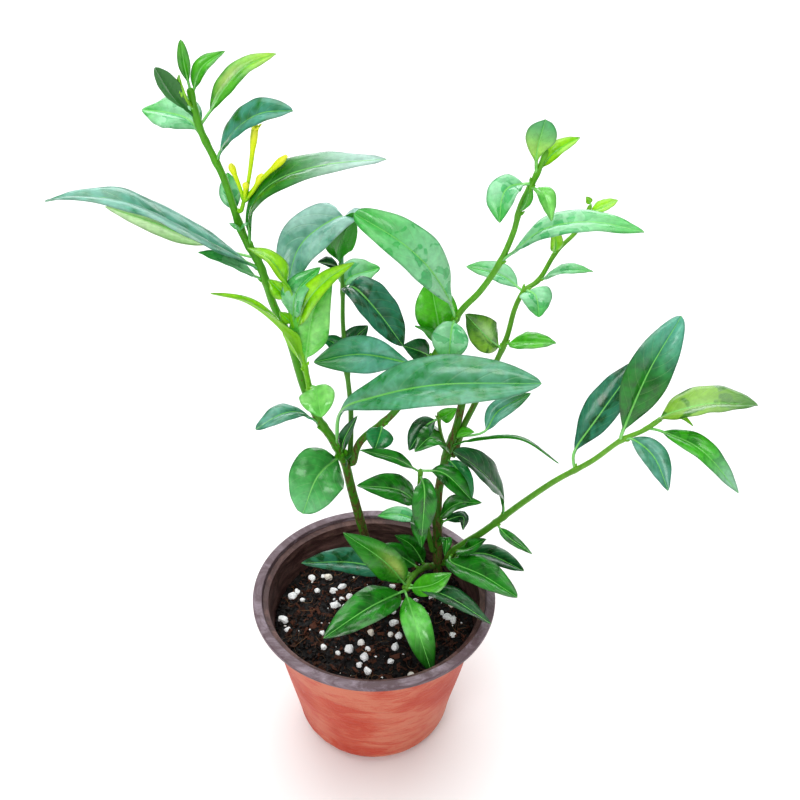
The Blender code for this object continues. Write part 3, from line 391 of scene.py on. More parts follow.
# Flower spray: five tubes on a short stalk, the first one open
FLOWER_FOOT = (-62, 6, 365)
FLOWER_TUBES = [(FLOWER_FOOT, *rest) for rest in (
    ((-58, 3, 381), (-54, 1, 402)),
    ((-53, 0, 378), (-40, -5, 392)),
    ((-64, 5, 374), (-67, 5, 384)),
    ((-61, 3, 370), (-60, 2, 376)),
    ((-57, 2, 372), (-52, 0, 381)),
)]
TUBE_SHARES = (0.0, 0.05, 0.14, 0.2, 0.45, 0.72, 0.84, 0.93, 1.0)
TUBE_RINGS = 40
TUBE_SIDES = 15
OPEN_RADII = (0.9, 1.3, 1.25, 0.85, 0.95, 1.15, 1.65, 1.75, 1.55)
BUD_RADII = (0.9, 1.3, 1.25, 0.85, 0.95, 1.15, 1.75, 1.7, 0.7)
LOBE_LENGTH = 4.2
LOBE_WIDTH = 2.4
LOBE_HALF_THICKNESS = 0.28
LOBE_RINGS = 9
LOBE_SIDES = 10
LOBES = 5

# Perlite grains that the front view shows, as places on the soil
GRAIN_PLACES = (
    (-41, 32), (-34, 33), (-30, 32), (-37, 22), (-53, 16), (-50, 20), (-46, 13), (-57, -4), (-54, -12),
    (-26, 21), (-21, 24), (-21, 13), (-25, 7), (-19, 6), (-16, 14), (-2, -15), (12, 1), (12, -8),
    (10, -17), (15, -19), (-8, -24), (-4, -28), (-6, -34), (-9, -40), (-4, -45), (10, -37), (22, -46),
    (46, -3), (43, 1), (50, -5), (49, -16), (52, 17), (47, 20), (33, -1), (18, 8), (26, 11),
)


# Shapes

def unit(vectors):
    """Scale vectors to length one."""
    vectors = np.asarray(vectors, float)
    return vectors / np.linalg.norm(vectors, axis=-1, keepdims=True)


def around(count):
    """Angles spread evenly round a turn."""
    return np.linspace(0, math.tau, count, endpoint=False)


def smoothstep(low, high, values):
    """Ease from 0 at low to 1 at high."""
    share = np.clip((np.asarray(values, float) - low) / (high - low), 0, 1)
    return share * share * (3 - 2 * share)


def soft_noise(places, size, seed):
    """Smooth random values from -1 to 1: seeded numbers a size apart, eased between neighbours."""
    table = np.random.default_rng(seed).uniform(-1, 1, (NOISE_CELLS,) * 3)
    scaled = np.asarray(places, float) / size + NOISE_START
    low = np.floor(scaled).astype(int)
    part = smoothstep(0, 1, scaled - low)
    total = 0
    for corner in np.ndindex(2, 2, 2):
        share = np.prod(np.where(np.array(corner), part, 1 - part), -1)
        spot = (low + corner) % NOISE_CELLS
        total = total + share * table[spot[..., 0], spot[..., 1], spot[..., 2]]
    return total


def read_at(places, run, points):
    """A curve's points at distances along it, where run holds the distances of the given ones."""
    return np.stack([np.interp(places, run, points[:, k]) for k in range(3)], 1)


def smooth_path(points, count):
    """A Catmull-Rom curve through the points, read at count places evenly along its length."""
    p = np.array(points, float)
    p = np.vstack([2 * p[0] - p[1], p, 2 * p[-1] - p[-2]])
    u = np.linspace(0, 1, SPAN_STEPS, endpoint=False)[:, None]
    spans = []
    for a, b, c, d in zip(p, p[1:], p[2:], p[3:]):
        ease = u * (c - a) + u**2 * (2 * a - 5 * b + 4 * c - d) + u**3 * (3 * (b - c) + d - a)
        spans.append(b + 0.5 * ease)
    dense = np.vstack(spans + [p[-2:-1]])
    run = np.r_[0, np.cumsum(np.linalg.norm(np.diff(dense, axis=0), axis=1))]
    return read_at(np.linspace(0, run[-1], count), run, dense), run[-1]


def stem_points(name):
    """A stem's points. A carried one starts a hair off its carrier's side and leaves it squarely."""
    stem = STEMS[name]
    if stem.carrier is None:
        return stem.points
    carrier = STEMS[stem.carrier]
    line, _ = smooth_path(stem_points(stem.carrier), STATIONS + 1)
    number = round(stem.at * STATIONS)
    along = unit(line[number + 1] - line[number - 1])
    toward = stem.points[0] - line[number]
    out = unit(toward - along * (toward @ along))
    radius = carrier.foot_radius + (carrier.tip_radius - carrier.foot_radius) * stem.at
    seat = line[number] + out * (radius + SEAT_GAP)
    return (seat, seat + out * SEAT_RUN, *stem.points)


def on_stem(name, share):
    """The point of a stem's centre line at a share of its length."""
    line, _ = smooth_path(stem_points(name), STATIONS + 1)
    return line[round(share * STATIONS)]


def ringed(rings, marks):
    """A closed body from rings of points, with a point in the middle of each end ring.

    Ring i, point j joins to the next point and the next ring, so a ring that turns left about the way
    along gives faces that point outward.
    """
    count, sides = rings.shape[:2]
    row, side = np.mgrid[:count - 1, :sides]
    turn = (side + 1) % sides
    quads = np.stack([row * sides + side, row * sides + turn, (row + 1) * sides + turn,
                      (row + 1) * sides + side], -1).reshape(-1, 4)
    first = np.arange(sides)
    after = (first + 1) % sides
    last = (count - 1) * sides
    poles = count * sides
    starts = np.stack([np.full(sides, poles), after, first], -1)
    ends = np.stack([np.full(sides, poles + 1), last + first, last + after], -1)
    points = np.vstack([rings.reshape(-1, 3), rings[0].mean(0), rings[-1].mean(0)])
    values = {}
    for name, field in marks.items():
        width = () if np.ndim(field) < 3 else (np.shape(field)[-1],)
        full = np.broadcast_to(field, (count, sides, *width)).reshape(-1, *width)
        values[name] = np.concatenate([full, full[:1], full[-1:]])
    return Body(points, quads, np.vstack([starts, ends]), values)


def tube_body(path, across, thick, marks, sides=12, face=None):
    """An oval carried along a path: across is its half width and thick its half depth towards face."""
    tangent = unit(np.gradient(path, axis=0))
    if face is None:
        face = np.eye(3)[np.argmin(np.abs(tangent).max(0))]
    side = unit(np.cross(tangent, face))
    third = np.cross(tangent, side)
    turn = around(sides)
    across, thick = np.reshape(across, (len(path), -1)), np.reshape(thick, (len(path), -1))
    rings = (path[:, None] + side[:, None] * (across * np.cos(turn))[..., None]
             + third[:, None] * (thick * np.sin(turn))[..., None])
    return ringed(rings, marks)


def linked(name, data):
    """An object with this data, linked into the scene."""
    made = bpy.data.objects.new(name, data)
    bpy.context.scene.collection.objects.link(made)
    return made


def piece(name, bodies, finish, slot, *replaced, sharp=50):
    """One object from closed bodies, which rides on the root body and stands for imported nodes."""
    points, faces, marks, start = [], [], {}, 0
    for body in bodies:
        points.append(body.points)
        faces += (body.quads + start).tolist() + (body.triangles + start).tolist()
        for key, values in body.marks.items():
            marks.setdefault(key, []).append(values)
        start += len(body.points)
    mesh = bpy.data.meshes.new(name)
    mesh.from_pydata((np.vstack(points) * MM).tolist(), [], faces)
    for key, values in marks.items():
        values = np.concatenate(values).astype(np.float32)
        if values.ndim == 2:
            colours = np.hstack([values, np.ones((len(values), 1), np.float32)])
            mesh.attributes.new(key, "FLOAT_COLOR", "POINT").data.foreach_set("color", colours.ravel())
        else:
            mesh.attributes.new(key, "FLOAT", "POINT").data.foreach_set("value", values)
    mesh.materials.append(finish)
    mesh.update()
    mesh.shade_smooth()
    mesh.set_sharp_from_angle(angle=math.radians(sharp))
    made = linked(name, mesh)
    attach(made, "root")
    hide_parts(*replaced)
    return made


# Leaves

COLUMNS = np.array((0.0, 0.05, 0.13, 0.25, 0.4, 0.56, 0.73, 0.87, 0.96, 1.0))
ACROSS = np.r_[-COLUMNS[:0:-1], COLUMNS]
PETIOLE_SHARES = np.array((0.0, 0.25, 0.5, 0.75, 0.95))


def half_width(u, peak, blunt):
    """A leaf's half width, as a share of its widest, at shares u of the blade.

    It follows a sine that is bent to peak where the leaf does. A sharp tip is drawn out to a point, and
    a blunt one is rounded. The base always narrows into the petiole.
    """
    bend = math.log(0.5) / math.log(peak)
    u = np.clip(u, 1e-6, 1)
    arch = np.clip(np.sin(np.pi * u**bend), 0, 1)
    base = arch**1.15
    far = u**bend > 0.5
    sharp = np.where(far, arch**0.85 * (1 - 0.28 * np.clip((u - 0.72) / 0.25, 0, 1) ** 1.5), base)
    rounded = np.where(far, arch**0.52, base)
    return (sharp + (rounded - sharp) * blunt) * (1 - np.exp(-u / 0.03))


def rib_points(leaf):
    """The rib's points; a leaf with one point gets a slight arch towards its face."""
    root = on_stem(leaf.stem, leaf.at)
    points = [root, *[np.array(p, float) for p in leaf.rib]]
    if len(points) == 2:
        chord = points[1] - root
        face = unit(leaf.face)
        rise = unit(face - chord * (face @ chord) / (chord @ chord))
        points.insert(1, root + 0.5 * chord + 0.1 * np.linalg.norm(chord) * rise)
    return points


def leaf_colours(tone, u, across):
    """Colours over the blade, outside the water film and under it: one tone, eased into its tip colour and
    its pale patch. Pale teal and grey ones are painted sheen.
    """
    shades = []
    for colour in (tone.dry, tone.wet):
        shade = np.broadcast_to(rgb(colour), (*u.shape, 3)).copy()
        if tone.tip:
            shade += (rgb(tone.tip) - shade) * smoothstep(TIP_COLOUR_FROM, TIP_COLOUR_FULL, u)[..., None]
        if tone.patch:
            colour, at, over, size = tone.patch
            far = ((u - at) / size) ** 2 + ((across - over) / PATCH_WIDTH) ** 2
            shade += (rgb(colour) - shade) * PATCH_STRENGTH * np.exp(-far * 1.5)[..., None]
        shades.append(shade)
    return shades


def leaf_body(leaf, number):
    """One leaf as rings from its petiole's foot to its tip.

    The blade's upper face is a V with rounded halves: height = w sin(fold) a (1 + 0.35 (1 - a)), where a
    runs from 0 at the rib to 1 at the edge and w is the half width there. A channel runs over the rib,
    the blade swells a little between side veins, and its edges wave. The lower face lies a blade's
    thickness below, with the rib standing out of it. The petiole is an oval that eases into that.
    """
    dense, length = smooth_path(rib_points(leaf), RIB_STEPS)
    blade = length - leaf.stalk
    rows = int(np.clip(blade / ROW_STEP, FEWEST_ROWS, MOST_ROWS))
    even = np.linspace(0, 1, rows)
    packed = 0.7 * even + 0.3 * (0.5 - 0.5 * np.cos(np.pi * even))
    along = np.r_[leaf.stalk * PETIOLE_SHARES, leaf.stalk + blade * packed]
    run = np.linspace(0, length, RIB_STEPS)
    rib = read_at(along, run, dense)
    tangent = unit(read_at(along, run, np.gradient(dense, axis=0)))
    share = (along / length)[:, None]
    face = unit(leaf.face)
    tip_face = face if leaf.tip_face is None else unit(leaf.tip_face)
    side = unit(np.cross(tangent, face * (1 - share) + tip_face * share))
    normal = np.cross(side, tangent)

    u = ((along - leaf.stalk) / blade)[:, None]
    a = np.abs(ACROSS)[None]
    is_blade = smoothstep(-0.02, 0.07, u)
    stalk_radius = 0.5 + 0.02 * leaf.width
    rib_radius = stalk_radius * (1 - 0.82 * np.clip(u, 0, 1))
    width = leaf.width / 2 * half_width(u, leaf.peak, leaf.blunt)
    width = np.maximum(width, np.where(u > 0.5, 0.12, stalk_radius))
    fold = math.radians(leaf.fold) * is_blade
    x = width * ACROSS * np.cos(fold)
    lift = width * np.sin(fold) * a * (1 + 0.35 * (1 - a)) + 0.1 * width * np.sin(np.pi * a) * is_blade
    wide = np.clip(width - 1, 0, 1)
    ripple = WAVE_HEIGHT * leaf.width * np.sin(2 * np.pi * (1.6 * u + 0.37 * number))
    swing = np.sin(2 * np.pi * (4.3 * u + 0.61 * number + 0.2 * np.sign(x)))
    flutter = FLUTTER_HEIGHT * leaf.width * swing
    wave = (-np.sign(ACROSS) * ripple * np.clip(u, 0, 1) * a**1.6 + flutter * a**3) * wide
    vein = VEINS * (u - 0.16 * a - 0.1 * a**2) + 0.5 * (x > 0)
    swell = VEIN_SWELL * np.cos(np.pi * vein) ** 2 * np.sin(np.pi * np.clip(a * 1.05, 0, 1)) ** 0.7 * wide
    middle = lift + wave + swell * np.clip(width / 8, 0.3, 1)
    channel = CHANNEL_DEPTH * (1 - 0.7 * u) * np.exp(-(x / 0.75) ** 2)
    thickness = BLADE_THICKNESS * (1 - 0.5 * a**6)
    ridge = 1.15 * rib_radius * np.exp(-(x / (0.75 * rib_radius + 0.15)) ** 2)
    round_top = 0.75 * stalk_radius * np.sqrt(1 - a**2)
    round_base = -stalk_radius * np.sqrt(1 - a**2)
    top = (1 - is_blade) * round_top + is_blade * (middle - channel)
    base = (1 - is_blade) * round_base + is_blade * (middle - channel - thickness - ridge)

    ring_x = np.concatenate([x, x[:, ::-1]], 1)
    ring_z = np.concatenate([top, base[:, ::-1]], 1)
    rings = rib[:, None] + side[:, None] * ring_x[..., None] + normal[:, None] * ring_z[..., None]
    tone = TONES[leaf.tone]
    ring_a = np.concatenate([a, a], 1) + 0 * ring_x
    ring_across = np.concatenate([ACROSS, ACROSS[::-1]])[None] + 0 * ring_x
    dry, wet = leaf_colours(tone, u + 0 * ring_x, ring_across)
    marks = {
        "dry": dry,
        "wet": wet,
        "crisp": np.full_like(ring_x, tone.crisp),
        "side_vein": np.concatenate([vein, vein[:, ::-1]], 1),
        "from_rib": np.abs(ring_x) / rib_radius,
        "from_edge": (1 - ring_a) * width,
        "blade": is_blade + 0 * ring_x,
        "under": np.concatenate([0 * x, 0 * x + 1], 1),
    }
    return ringed(rings, marks)


# Stems

def stem_radius(name, share):
    """A stem's radius: an even taper, swollen by a sixth where each of its leaves grows."""
    stem = STEMS[name]
    radius = stem.foot_radius + (stem.tip_radius - stem.foot_radius) * share
    _, length = smooth_path(stem_points(name), 3)
    for leaf in LEAVES.get(name, ()):
        radius = radius * (1 + NODE_SWELL * np.exp(-((share - leaf.at) * length / NODE_LENGTH) ** 2))
    return radius


def stem_body(name):
    """A stem as an oval carried along its path, with shallow ribs and a rounded tip."""
    stem = STEMS[name]
    _, length = smooth_path(stem_points(name), 3)
    count = int(length / RING_STEP)
    path, _ = smooth_path(stem_points(name), count)
    share = np.linspace(0, 1, count)[:, None]
    turn = around(STEM_SIDES)
    radius = stem_radius(name, share)
    radius = radius * np.sqrt(1 - smoothstep(1 - 1.2 / length, 1, share) * 0.7)
    places = np.broadcast_arrays(np.cos(turn) * 2, np.sin(turn) * 2, share * length / 4)
    ribs = 1 + 0.03 * np.sin(5 * turn + 2.2 * share) + 0.02 * soft_noise(np.stack(places, -1), 1.0, 5)
    covered = stem.bark_at_foot + (stem.bark_at_tip - stem.bark_at_foot) * np.clip(share * 1.7, 0, 1)
    foot, tip = rgb(stem.foot_green), rgb(stem.tip_green)
    marks = {
        "green": foot + (tip - foot) * share[..., None] + np.zeros((count, STEM_SIDES, 3)),
        "bark": covered + 0 * turn,
    }
    return tube_body(path, radius * ribs, radius * ribs, marks, STEM_SIDES)


def bud_body(leaf):
    """An axillary bud: a small pointed oval between a leaf's petiole and its stem."""
    root = on_stem(leaf.stem, leaf.at)
    before = on_stem(leaf.stem, max(leaf.at - 0.03, 0.0))
    after = on_stem(leaf.stem, min(leaf.at + 0.03, 1.0))
    ahead = unit(after - before)
    out = leaf.rib[0] - root
    out = unit(out - ahead * (out @ ahead))
    radius = float(stem_radius(leaf.stem, leaf.at))
    start = root + out * radius * 0.7 + ahead * 0.6
    share = np.linspace(0, 1, BUD_SIDES)[:, None]
    path = start + (out * 0.45 + ahead * 0.9) * share * (2.4 + radius * 0.6)
    width = (0.35 + 0.25 * radius) * np.sin(np.pi * (0.12 + 0.86 * share[:, 0] ** 0.8)) ** 0.8
    bare = np.zeros((BUD_SIDES, BUD_SIDES))
    marks = {"green": rgb(STEMS[leaf.stem].tip_green) + bare[..., None], "bark": bare}
    return tube_body(path, width, width, marks, BUD_SIDES)


# Flowers

def flower_body(points, radii):
    """A flower tube: a circle of changing radius carried along its path, faintly ribbed near its mouth."""
    path, _ = smooth_path(points, TUBE_RINGS)
    share = np.linspace(0, 1, TUBE_RINGS)
    radius = np.interp(share, TUBE_SHARES, radii)
    radius = np.convolve(np.pad(radius, 2, "edge"), (0.1, 0.2, 0.4, 0.2, 0.1), "valid")
    turn = around(TUBE_SIDES)
    radius = radius[:, None] * (1 + 0.05 * np.cos(LOBES * turn) * smoothstep(0.5, 0.9, share)[:, None])
    return tube_body(path, radius, radius, {"along": share[:, None] + 0 * turn}, TUBE_SIDES)


def lobe_bodies(tip, direction):
    """Five short lobes that stand round a tube's mouth, each a thin pointed strap."""
    axis = unit(direction)
    across = unit(np.cross(axis, (0.3, 0.9, 0.2)))
    third = np.cross(axis, across)
    share = np.linspace(0, 1, LOBE_RINGS)[:, None]
    half = LOBE_WIDTH / 2 * np.sin(np.pi * (0.22 + 0.75 * share[:, 0])) ** 0.8
    thick = np.full(LOBE_RINGS, LOBE_HALF_THICKNESS)
    marks = {"along": 0.9 + 0.1 * share + np.zeros((LOBE_RINGS, LOBE_SIDES))}
    lobes = []
    for number in range(LOBES):
        turn = math.tau * number / LOBES
        out = across * math.cos(turn) + third * math.sin(turn)
        path = tip + out * 0.95 - axis * 0.8 + (axis * 0.85 + out * 0.42 * share) * LOBE_LENGTH * share
        lobes.append(tube_body(path, half, thick, marks, LOBE_SIDES, out))
    return lobes


# Pot

def arc(centre, radius, start, end, count):
    """Points of an arc in the profile's plane, angles in degrees."""
    angles = np.radians(np.linspace(start, end, count))
    return [(centre[0] + radius * math.cos(a), centre[1] + radius * math.sin(a)) for a in angles]


def body_radius(z):
    """The pot's outer radius at height z."""
    return BODY_RADIUS_AT_BASE + BODY_TAPER * z


def pot_profile():
    """From the middle of the underside, up the outside, over the rolled rim and down the inside."""
    slope = math.degrees(math.atan(BODY_TAPER))
    outer_centre = (body_radius(BASE_CORNER) - BASE_CORNER, BASE_CORNER)
    inner_centre = (outer_centre[0], outer_centre[1] + 0.3)
    inner_corner = BASE_CORNER - FLOOR + 0.3
    neck = body_radius(BODY_TOP)
    rim_base = POT_HEIGHT - RIM_DEPTH
    lip_inner = RIM_RADIUS - RIM_WIDTH
    ledge = POT_HEIGHT - INNER_STEP
    ledge_radius = body_radius(ledge) - WALL
    under = [(r, 0.0) for r in (6, 14, 22, 27, 31)] + [(32.2, 0.5), (33.4, 0.5), (34.4, 0.0)]
    outside = arc(outer_centre, BASE_CORNER, -90, -slope, 9)
    outside += [(body_radius(z), z) for z in np.linspace(16, BODY_TOP - 2, 30)]
    rim = [(neck, BODY_TOP), (neck + 0.5, BODY_TOP + 1.6), (neck + 2.2, rim_base - 1.0),
           (RIM_RADIUS - 1.4, rim_base - 0.5)]
    rim += arc((RIM_RADIUS - 0.8, rim_base + 0.6), 0.8, -80, 0, 4)
    rim += arc((RIM_RADIUS - 0.9, POT_HEIGHT - 0.9), 0.9, 0, 90, 5)
    rim += [(RIM_RADIUS - 2.4, POT_HEIGHT - 0.1), (RIM_RADIUS - 4.0, POT_HEIGHT - 0.18)]
    rim += arc((lip_inner + 0.7, POT_HEIGHT - 0.85), 0.7, 90, 180, 4)
    inside = [(lip_inner - 0.3, ledge + 1.9), (lip_inner - 0.6, ledge + 1.2),
              (ledge_radius - 0.5, ledge + 0.2), (ledge_radius - 0.8, ledge - 1)]
    inside += [(body_radius(z) - WALL - 0.7, z) for z in (101, 99.5)]
    inside += [(body_radius(z) - WALL, z) for z in (98.6, 97.8, *np.linspace(96, 16, 26))]
    inside += arc(inner_centre, inner_corner, -slope, -90, 7)
    floor = [(r, FLOOR) for r in (32, 27, 22, 14, 6)]
    return np.array(under + outside + rim + inside + floor)


def pot_push(turn, height):
    """How far the thin wall stands in or out: a slight oval, soft hand dents and a crumple low down."""
    oval = OVAL * np.cos(2 * turn + 0.5) * smoothstep(10, 90, height)
    turn, height = np.broadcast_arrays(turn, height)
    places = np.stack([np.cos(turn) * 60, np.sin(turn) * 60, height], -1)
    free = smoothstep(12, 30, height) * (1 - smoothstep(78, 96, height))
    dents = DENT_DEPTH * soft_noise(places, 26, 11) * free
    away = np.angle(np.exp(1j * (turn - math.radians(CRUMPLE_ANGLE)))) * 55
    fold = np.exp(-((away / 13) ** 2)) * np.exp(-(((height - CRUMPLE_HEIGHT - 0.25 * away) / 7) ** 2))
    creases = 0.6 + 0.4 * np.sin(away * 0.55 + height * 0.35)
    return oval - 0.25 + dents - CRUMPLE_DEPTH * fold * creases


def pot_body():
    """The profile turned about Z, pushed in and out by pot_push, with its layers marked."""
    profile = pot_profile()
    turn = around(POT_SPOKES)[None]
    radius, height = profile[:, :1], profile[:, 1:]
    near_floor = smoothstep(30, 45, radius)
    is_rim = smoothstep(BODY_TOP, BODY_TOP + 4, height)
    radius = radius + pot_push(turn, height) * near_floor * (1 - 0.4 * is_rim)
    rings = np.stack([radius * np.cos(turn), radius * np.sin(turn), height + 0 * turn], -1)
    step = np.arange(len(profile))[:, None]
    top = int(np.argmax(profile[:, 1]))
    lip = int(np.argmax(profile[:, 0]))
    marks = {
        "inner_layer": (step >= lip - 3) + 0.0 * turn,
        "rim": ((step >= lip - 3) & (step <= top + 7)) + 0.0 * turn,
    }
    return ringed(rings, marks)


def drill_floor(pot):
    """Cut the drain holes through the pot's floor and keep the cut mesh."""
    work = bmesh.new()
    radius = DRAIN_HOLE_RADIUS * MM
    for number in range(DRAIN_HOLES):
        turn = math.tau * (number + 0.5) / DRAIN_HOLES
        place = Vector((math.cos(turn), math.sin(turn), 0)) * DRAIN_RING_RADIUS * MM
        bmesh.ops.create_cone(work, cap_ends=True, segments=24, radius1=radius, radius2=radius,
                              depth=4 * FLOOR * MM, matrix=Matrix.Translation(place))
    mesh = bpy.data.meshes.new("drain_hole_drill")
    work.to_mesh(mesh)
    work.free()
    drill = linked("drain_hole_drill", mesh)
    cut = pot.modifiers.new("Drain holes", "BOOLEAN")
    cut.object = drill
    cut.operation = "DIFFERENCE"
    cut.solver = "EXACT"
    graph = bpy.context.evaluated_depsgraph_get()
    solid = bpy.data.meshes.new_from_object(pot.evaluated_get(graph))
    pot.modifiers.clear()
    pot.data = solid
    bpy.data.objects.remove(drill, do_unlink=True)


# Soil

def soil_relief(x, y):
    """The soil's height: a slight crown, soft mounds, and clods that get smaller and lower."""
    radius = np.hypot(x, y)
    flat = np.stack([x, y, 0 * x], -1)
    mounds = 1.3 * soft_noise(flat, 19, 2) * (1 - smoothstep(52, 64, radius))
    clods = 0
    for height, size, seed in ((0.75, 5.2, 3), (0.42, 2.3, 4), (0.22, 1.1, 6)):
        clods = clods + height * soft_noise(flat, size, seed)
    return SOIL_TOP + SOIL_CROWN * (1 - (radius / SOIL_REACH) ** 2) + mounds + clods


def soil_body():
    """The filling: rings from its underside out to the wall, up the wall and in over the rough top."""
    turn = around(SOIL_SPOKES)[None]
    low, high = FLOOR + 0.3, SOIL_TOP - 0.5
    corner = body_radius(BASE_CORNER) - BASE_CORNER
    below = np.array([(3.0, low), (corner - 4.0, low), (corner, low + 2.0)])
    levels = np.array([12, 30, 55, 70, 80, high])
    wall = np.stack([body_radius(levels) - SOIL_EDGE_GAP - 1.6 * (levels < 60), levels], 1)
    reach = body_radius(SOIL_TOP) - SOIL_EDGE_GAP
    top = np.linspace(reach - 0.25, 0.4, SOIL_RINGS)
    radius = np.r_[below[:, 0], wall[:, 0], top][:, None] + 0 * turn
    x, y = radius * np.cos(turn), radius * np.sin(turn)
    relief = soil_relief(x, y)
    height = np.r_[below[:, 1], wall[:, 1]][:, None] + 0 * turn
    z = np.vstack([height, relief[len(height):]])
    return ringed(np.stack([x, y, z], -1), {"shade": np.zeros_like(z)})


def random_turns(count, rng, flat):
    """Random turns as matrices from quaternions. flat from 0 to 1 keeps pieces nearly level."""
    tilt = rng.normal(0, 1, (count, 2)) * (1 - flat)
    turn = rng.uniform(0, math.pi, count)
    q = unit(np.stack([np.cos(turn), tilt[:, 0], tilt[:, 1], np.sin(turn)], 1))
    w, x, y, z = q.T
    rows = [[1 - 2 * (y * y + z * z), 2 * (x * y - w * z), 2 * (x * z + w * y)],
            [2 * (x * y + w * z), 1 - 2 * (x * x + z * z), 2 * (y * z - w * x)],
            [2 * (x * z - w * y), 2 * (y * z + w * x), 1 - 2 * (x * x + y * y)]]
    return np.array(rows).transpose(2, 0, 1)


def on_soil(count, rng, reach):
    """Random places on the soil, clear of the stems' feet."""
    radius = reach * np.sqrt(rng.random(count))
    turn = rng.uniform(0, math.tau, count)
    x, y = radius * np.cos(turn), radius * np.sin(turn)
    for name in ("leader", "trunk"):
        foot = STEMS[name].points[0]
        near = np.hypot(x - foot[0], y - foot[1]) < STEMS[name].foot_radius + 0.5
        x = np.where(near, x + 7, x)
    return x, y


def round_directions(level):
    """Points and faces of a small ball of triangles."""
    work = bmesh.new()
    bmesh.ops.create_icosphere(work, subdivisions=level, radius=1.0)
    points = np.array([vert.co[:] for vert in work.verts])
    faces = np.array([[vert.index for vert in face.verts] for face in work.faces])
    work.free()
    return points, faces


NO_QUADS = np.zeros((0, 4), int)


def strewn(shape, faces, sizes, x, y, lift, flat, rough, rng):
    """Many copies of a small shape, each jittered, stretched, turned and laid on the soil."""
    count = len(x)
    places = np.stack([x, y, soil_relief(x, y) + lift], 1)
    turns = random_turns(count, rng, flat)
    shades = rng.random(count)
    points = shape[None] * (1 + rng.uniform(-rough, rough, (count, len(shape), 1)))
    points = np.einsum("nij,nvj->nvi", turns, points * sizes[:, None]) + places[:, None]
    shift = np.arange(count)[:, None, None] * len(shape)
    return [Body(points.reshape(-1, 3), NO_QUADS, (faces[None] + shift).reshape(-1, 3),
                 {"shade": np.repeat(shades, len(shape))})]


def crumb_bodies():
    """Peat crumbs: balls of twenty faces, squashed and jittered, sunk by half in the soil."""
    rng = np.random.default_rng(21)
    shape, faces = round_directions(1)
    x, y = on_soil(CRUMBS, rng, CRUMB_REACH)
    size = rng.gamma(3.0, 0.22, CRUMBS).clip(0.25, 1.9)
    sizes = size[:, None] * rng.uniform(0.7, 1.25, (CRUMBS, 3))
    return strewn(shape, faces, sizes, x, y, 0.15 * size, 0.0, 0.3, rng)


def chip_bodies():
    """Bark and husk chips: jittered slabs of twelve triangles, lying nearly level."""
    rng = np.random.default_rng(22)
    shape = np.array([(x, y, z) for x in (-1, 1) for y in (-1, 1) for z in (-1, 1)], float)
    faces = np.array([(0, 1, 3), (0, 3, 2), (4, 6, 7), (4, 7, 5), (0, 4, 5), (0, 5, 1), (2, 3, 7), (2, 7, 6),
                      (0, 2, 6), (0, 6, 4), (1, 5, 7), (1, 7, 3)])
    x, y = on_soil(CHIPS, rng, CHIP_REACH)
    length = rng.gamma(3.0, 0.42, CHIPS).clip(0.4, 3.4)
    sizes = np.stack([length, length * rng.uniform(0.2, 0.55, CHIPS), rng.uniform(0.12, 0.35, CHIPS)], 1)
    return strewn(shape, faces, sizes, x, y, 0.35, 0.72, 0.25, rng)


def fibre_bodies():
    """Coir fibres: hair-thin three-sided tubes that bend over the soil."""
    rng = np.random.default_rng(23)
    x, y = on_soil(FIBRES, rng, FIBRE_REACH)
    bodies = []
    share = np.linspace(-0.5, 0.5, FIBRE_RINGS)
    for number in range(FIBRES):
        length, turn, bend = rng.gamma(4.0, 2.6), rng.uniform(0, math.pi), rng.normal(0, 1.1)
        angle = turn + bend * share
        px = x[number] + np.cos(angle) * share * length
        py = y[number] + np.sin(angle) * share * length
        inside = np.minimum(1, 61.5 / np.hypot(px, py))
        px, py = px * inside, py * inside
        lift = 0.45 + rng.uniform(0, 1.2) * (1 - (2 * share) ** 2) + rng.normal(0, 0.5) * share
        relief = soil_relief(px, py)
        path = np.stack([px, py, relief * 0.4 + relief.mean() * 0.6 + lift], 1)
        thin = rng.uniform(0.07, 0.17) * (1 - 0.5 * np.abs(2 * share) ** 3)
        marks = {"shade": np.full((FIBRE_RINGS, 3), rng.random())}
        bodies.append(tube_body(path, thin, thin, marks, 3, UP))
    return bodies


def grain_spots():
    """The grains' places: those that the front view shows, then strays, as the packed soil has them."""
    rng = random.Random(GRAIN_SEED)
    places = list(GRAIN_PLACES)
    stem_feet = [STEMS[name].points[0][:2] for name in ("leader", "trunk")]
    while len(places) < len(GRAIN_PLACES) + STRAY_GRAINS:
        turn = rng.uniform(0, math.tau)
        spot = (STRAY_REACH * math.sqrt(rng.random()) * math.cos(turn),
                STRAY_REACH * math.sqrt(rng.random()) * math.sin(turn))
        clear = all(math.dist(spot, foot) > GRAIN_FOOT_GAP for foot in stem_feet)
        clear = clear and all(math.dist(spot, other) > GRAIN_GAP for other in places)
        if clear and math.hypot(*spot) < STRAY_REACH:
            places.append(spot)
    return places


